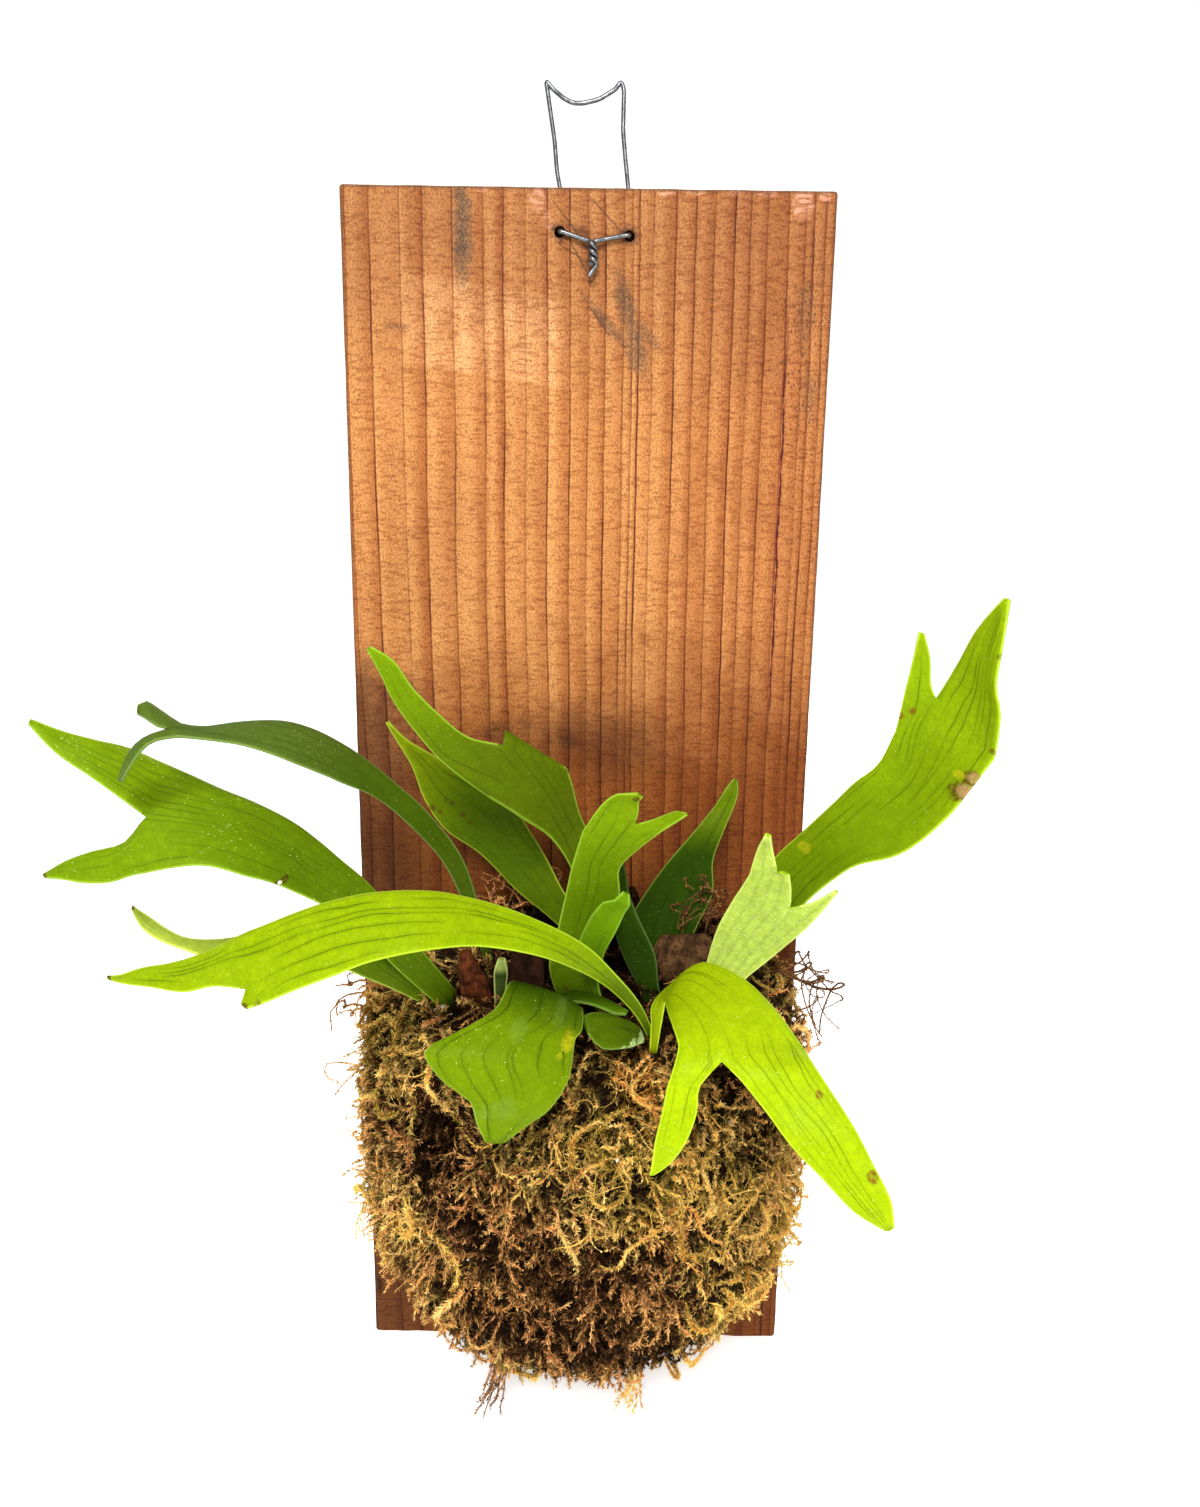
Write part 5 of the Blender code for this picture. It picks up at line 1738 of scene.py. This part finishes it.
# Strays: both ends as (x, out, z), how far the middle bows, the radius of their loops,
# how many strands, how far apart they are, their colour, and their leaves' length and
# number
STRAYS = (
    ((-21, 38, -146), (-27, 42, -178), (3, 3, 0), 0.8, 16, 1.5, UMBER * 0.6, 1.3, 60),
    ((17.5, 42, -146), (16.0, 46, -181), (3, 0, 0), 0.3, 5, 0.8, STRAW, 3.0, 40),
    ((17.5, 42, -146), (19.5, 45, -170), (-1, 0, 0), 0.3, 4, 1.2, TAWNY, 2.6, 40),
    ((-29, 30, -146), (-24, 36, -168), (-3, 0, 0), 0.3, 2, 1.5, UMBER, 0.9, 40),
    ((60, 16, -42), (74, 22, -54), (7, 4, 6), 3.4, 8, 2.5, UMBER * 0.42, 0.8, 60),
    ((60, 16, -58), (70, 20, -68), (7, 0, 4), 3.0, 6, 2.5, UMBER * 0.5, 0.8, 60),
    ((62, 14, -102), (76, 18, -108), (2, 0, -3), 0.5, 3, 2.5, UMBER * 0.7, 1.8, 34),
    ((60, 16, -112), (72, 20, -119), (0, 0, 3), 0.5, 2, 2.0, UMBER * 0.7, 1.6, 26),
    ((62, 18, -126), (71, 20, -126), (0, 0, 1), 0.3, 1, 0.5, TAWNY, 0.8, 30),
    ((-60, 20, -46), (-76, 24, -51), (-3, 0, 3), 1.2, 3, 2.0, TAWNY * 0.8, 0.9, 50),
    ((-58, 16, -56), (-70, 20, -60), (-2, 0, 3), 1.5, 7, 3.0, TAWNY, 1.3, 70),
    ((-57, 26, -112), (-71, 28, -136), (-3, 0, 2), 0.5, 4, 1.0, GOLD * 0.8, 1.0, 60),
    ((-60, 18, -76), (-71, 18, -82), (-2, 0, 3), 0.8, 4, 4.0, TAWNY, 1.2, 50),
    ((58, 18, -134), (67, 24, -144), (3, 0, 0), 0.8, 4, 2.5, STRAW, 1.2, 60),
    ((58, 22, -120), (64, 26, -134), (6, 0, 3), 1.0, 9, 3.0, GOLD, 1.2, 90),
    ((30, 34, -148), (36, 34, -160), (1, 0, 0), 0.5, 4, 2.0, TAWNY, 1.3, 50),
    ((37, 12, -30), (38, 30, -14), (1, 0, 3), 1.6, 12, 4.5, UMBER * 0.6, 1.3, 70),
    ((-22, 6, -30), (-20, 14, -14), (1, 0, 3), 1.0, 12, 7.0, UMBER, 1.3, 60),
    ((41, 20, -15), (31, 26, -23), (0, 3, 2), 0.8, 8, 3.0, UMBER * 0.4, 0.9, 50),
)
STRAY_RADII = (0.26, 0.50)


def place_of(spot):
    x, out, z = spot
    return np.array((x, FACE - out, PLANK_MID + z), float)


def stray_paths(rng, start, end, bow, coil, count, spread, places=19):
    """Strands that leave the mound together and part as they go, each with its own loops."""
    along = np.linspace(0.0, 1.0, places)[None, :, None]
    first = place_of(start) + rng.normal(0, spread * 0.45, (count, 3))
    last = place_of(end) + rng.normal(0, spread, (count, 3))
    swing = np.array((bow[0], -bow[1], bow[2]), float) + rng.normal(0, spread * 0.8, (count, 3))
    last = first + (last - first) * rng.uniform(0.6, 1.05, (count, 1))
    paths = first[:, None] * (1 - along) + last[:, None] * along
    paths = paths + swing[:, None] * 4 * along * (1 - along)
    kinks = np.cumsum(rng.normal(0, 0.35, (count, places, 3)), axis=1) * along
    turn = rng.uniform(0, math.tau, (count, 1))
    turn = turn + rng.uniform(6.0, 11.0, (count, 1)) * along[:, :, 0]
    loop = np.stack([np.cos(turn), 0.4 * np.sin(turn), np.sin(turn)], axis=2)
    paths = paths + kinks + (loop - loop[:, :1]) * coil * np.minimum(1.0, along * 2)
    off_board(paths)
    return paths


def make_strays(rng):
    parts = []
    for start, end, bow, coil, count, spread, tint, leaf, leaves in STRAYS:
        paths = stray_paths(rng, start, end, bow, coil, count, spread)
        tints = tint * rng.uniform(0.65, 1.35, (count, 1))
        radius = rng.uniform(*STRAY_RADII, count)
        parts.append(stems(paths, radius, tints))
        parts.append(leaflets(rng, paths, radius, np.full(count, leaf), leaves, tints))
    return joined(parts)


def moss_look():
    m = Look("dry_moss")
    tint = m.attribute("tint").outputs["Color"]
    grain = m.clouds(1.6, 2.0, 0.6)
    darkening = m.clouds(0.09, 3.0, 0.6)
    colour = m.tones(tint, (
        (grain, 0.3, 0.7, 0.3, (0.6, 0.5, 0.42)),
        (darkening, 0.5, 0.7, 0.3, (0.5, 0.42, 0.38)),
    ))
    return m.finish(colour, 0.8, Specular_IOR_Level=0.05)


def core_look():
    m = Look("moss_depths")
    tangle = m.clouds(0.6, 5.0, 0.75, 1.5)
    fine = m.cells(m.place, 1.4)
    # Dark: partly the soil's own colour, partly painted shade deep in the moss
    colour = m.mix(m.rise(tangle, 0.4, 0.72), (0.022, 0.009, 0.004), (0.12, 0.058, 0.026))
    height = m.times_plus(tangle, 1.0, m.times(fine["Distance"], 0.4))
    return m.finish(colour, 0.95, m.bump(height, 1.6, 1.0), Specular_IOR_Level=0.1)


def make_core():
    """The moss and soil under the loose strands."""
    shape = bmesh.new()
    bmesh.ops.create_icosphere(shape, subdivisions=6, radius=1.0)
    behind = [vert for vert in shape.verts if vert.co.y > MOUND_SIDE + 0.08]
    bmesh.ops.delete(shape, geom=behind, context="VERTS")
    ways = unit(np.array([tuple(vert.co) for vert in shape.verts]))
    points = onto_mound(HEART + ways * CORE_REACH, 14, 0.9)
    uneven = 2.4 * field(points, 15.0, 9.0) + 1.3 * field(points, 5.0, 4.0)
    sunk = uneven - CORE_DEPTH - CORE_HOLLOW_DEPTH * hollow(points)
    points = points + unit(points - HEART) * np.minimum(sunk, 0.5)[:, None]
    off_board(points, BOARD_GAP / 2)
    for vert, point in zip(shape.verts, points):
        vert.co = Vector(point) * MM
    mesh = mesh_of("moss_core", shape)
    mesh.shade_smooth()
    core = add("moss_core", mesh, core_look())
    return settle(core, "dry_moss", "moss_mound")


def add_moss(name, look, parts):
    settle(add(name, mesh_from(name, *parts), look), "dry_moss")


def make_moss():
    rng = np.random.default_rng(MOSS_SEED)
    look = moss_look()
    add_moss("moss_thatch", look, moss_shoots(rng, THATCH))
    add_moss("moss_tangle", look, moss_shoots(rng, TANGLE))
    add_moss("moss_ropes", look, moss_shoots(rng, ROPES))
    add_moss("moss_wisps", look, moss_shoots(rng, WISPS))
    add_moss("moss_tufts", look, tufts(rng, TUFTS))
    add_moss("moss_more_tufts", look, tufts(rng, TUFTS))
    add_moss("moss_strays", look, make_strays(rng))


# Grains of perlite caught in the moss: x, out, z and radius
GRAINS = (
    (-39.0, 38, -44.5, 0.9), (-41.2, 38, -45.5, 0.7), (-36.8, 39, -46.0, 0.6),
    (44.0, 56, -70.0, 0.8), (12.0, 66, -76.0, 0.5), (-30.0, 60, -112.0, 0.5),
    (30.0, 60, -128.0, 0.5), (-48.0, 42, -74.0, 0.5),
)


def make_grains():
    m = Look("perlite")
    lumps = m.clouds(2.0, 3.0, 0.6)
    colour = m.mix(m.rise(lumps, 0.35, 0.7), (0.80, 0.78, 0.72), (0.45, 0.38, 0.28))
    look = m.finish(colour, 0.9, m.bump(lumps, 0.25, 0.8), Specular_IOR_Level=0.2)
    shape = bmesh.new()
    for x, out, z, radius in GRAINS:
        made = bmesh.ops.create_icosphere(shape, subdivisions=2, radius=radius * MM)
        for vert in made["verts"]:
            lump = 1 + 0.35 * noise.noise(vert.co / MM * 1.3 + Vector((x, out, z)))
            vert.co = vert.co * lump + Vector(place_of((x, out, z))) * MM
    settle(add("perlite_grains", mesh_of("perlite_grains", shape), look), "dry_moss")


# Stage ---------------------------------------------------------------------------------

FLOOR_SIZE = 6.0
FLOOR_GAP = 0.5
# Soft lights: place and target in metres, width in metres, and power in watts
LIGHTS = {
    "key": ((-0.06, -1.05, 0.58), (0.0, -0.03, -0.25), 0.45, 17.0),
    "rear": ((0.5, 1.2, 0.6), (0.0, 0.0, -0.25), 0.9, 12.0),
}
SKY_STRENGTH = 0.66
BACKDROP_STRENGTH = 1.1
# The camera stands above the plank's middle (in metres) and looks down (in degrees)
CAMERA_PLACE = (0.00583, -0.37075, -0.10894)
CAMERA_TURN = (77.168, -0.845, 0.229)
FRAME_HEIGHT = 36.0
LENS = 27.71
VIEW_GAMMA = 0.85


def make_stage():
    m = Look("pale_floor")
    floor_look = m.finish(
        (0.80, 0.80, 0.79), 0.9, Specular_IOR_Level=0.05,
        Emission_Color=(1.0, 1.0, 1.0, 1.0), Emission_Strength=0.55,
    )
    shape = bmesh.new()
    bmesh.ops.create_grid(shape, x_segments=2, y_segments=2, size=FLOOR_SIZE)
    floor = add("floor", mesh_of("floor", shape), floor_look)
    floor.location.z = (PLANK_LOW - FLOOR_GAP) * MM


def soft_light(name, place, target, size, power):
    light = bpy.data.lights.new(name, "AREA")
    light.shape = "DISK"
    light.size = size
    light.energy = power
    lamp = add(name, light)
    lamp.location = place
    aim = Vector(target) - Vector(place)
    lamp.rotation_euler = aim.to_track_quat("-Z", "Y").to_euler()


def make_lights():
    for name, values in LIGHTS.items():
        soft_light(name, *values)
    world = bpy.data.worlds.new("studio")
    bpy.context.scene.world = world
    world.use_nodes = True
    tree = world.node_tree
    tree.nodes.clear()
    seen = tree.nodes.new("ShaderNodeLightPath")
    strength = tree.nodes.new("ShaderNodeMapRange")
    strength.inputs["To Min"].default_value = SKY_STRENGTH
    strength.inputs["To Max"].default_value = BACKDROP_STRENGTH
    tree.links.new(seen.outputs["Is Camera Ray"], strength.inputs["Value"])
    sky = tree.nodes.new("ShaderNodeBackground")
    sky.inputs["Color"].default_value = (1.0, 1.0, 1.0, 1.0)
    tree.links.new(strength.outputs[0], sky.inputs["Strength"])
    output = tree.nodes.new("ShaderNodeOutputWorld")
    tree.links.new(sky.outputs[0], output.inputs[0])


def make_camera():
    camera = bpy.data.cameras.new("camera")
    camera.sensor_fit = "VERTICAL"
    camera.sensor_height = FRAME_HEIGHT
    camera.lens = LENS
    camera.clip_start = 0.01
    view = add("camera", camera)
    view.location = CAMERA_PLACE
    view.rotation_euler = [math.radians(turn) for turn in CAMERA_TURN]
    bpy.context.scene.camera = view


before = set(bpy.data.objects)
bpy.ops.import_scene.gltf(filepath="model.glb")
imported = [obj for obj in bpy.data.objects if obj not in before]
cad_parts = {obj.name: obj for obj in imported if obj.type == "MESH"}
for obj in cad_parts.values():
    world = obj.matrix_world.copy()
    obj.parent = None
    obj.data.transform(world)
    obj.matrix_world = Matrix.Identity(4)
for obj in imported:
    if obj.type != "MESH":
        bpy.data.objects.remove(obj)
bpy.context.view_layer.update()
make_camera()
make_stage()
make_lights()
make_plank()
make_wire()
make_fronds()
make_crown()
make_core()
make_moss()
make_grains()
bpy.context.scene.view_settings.view_transform = "Standard"
bpy.context.scene.view_settings.gamma = VIEW_GAMMA
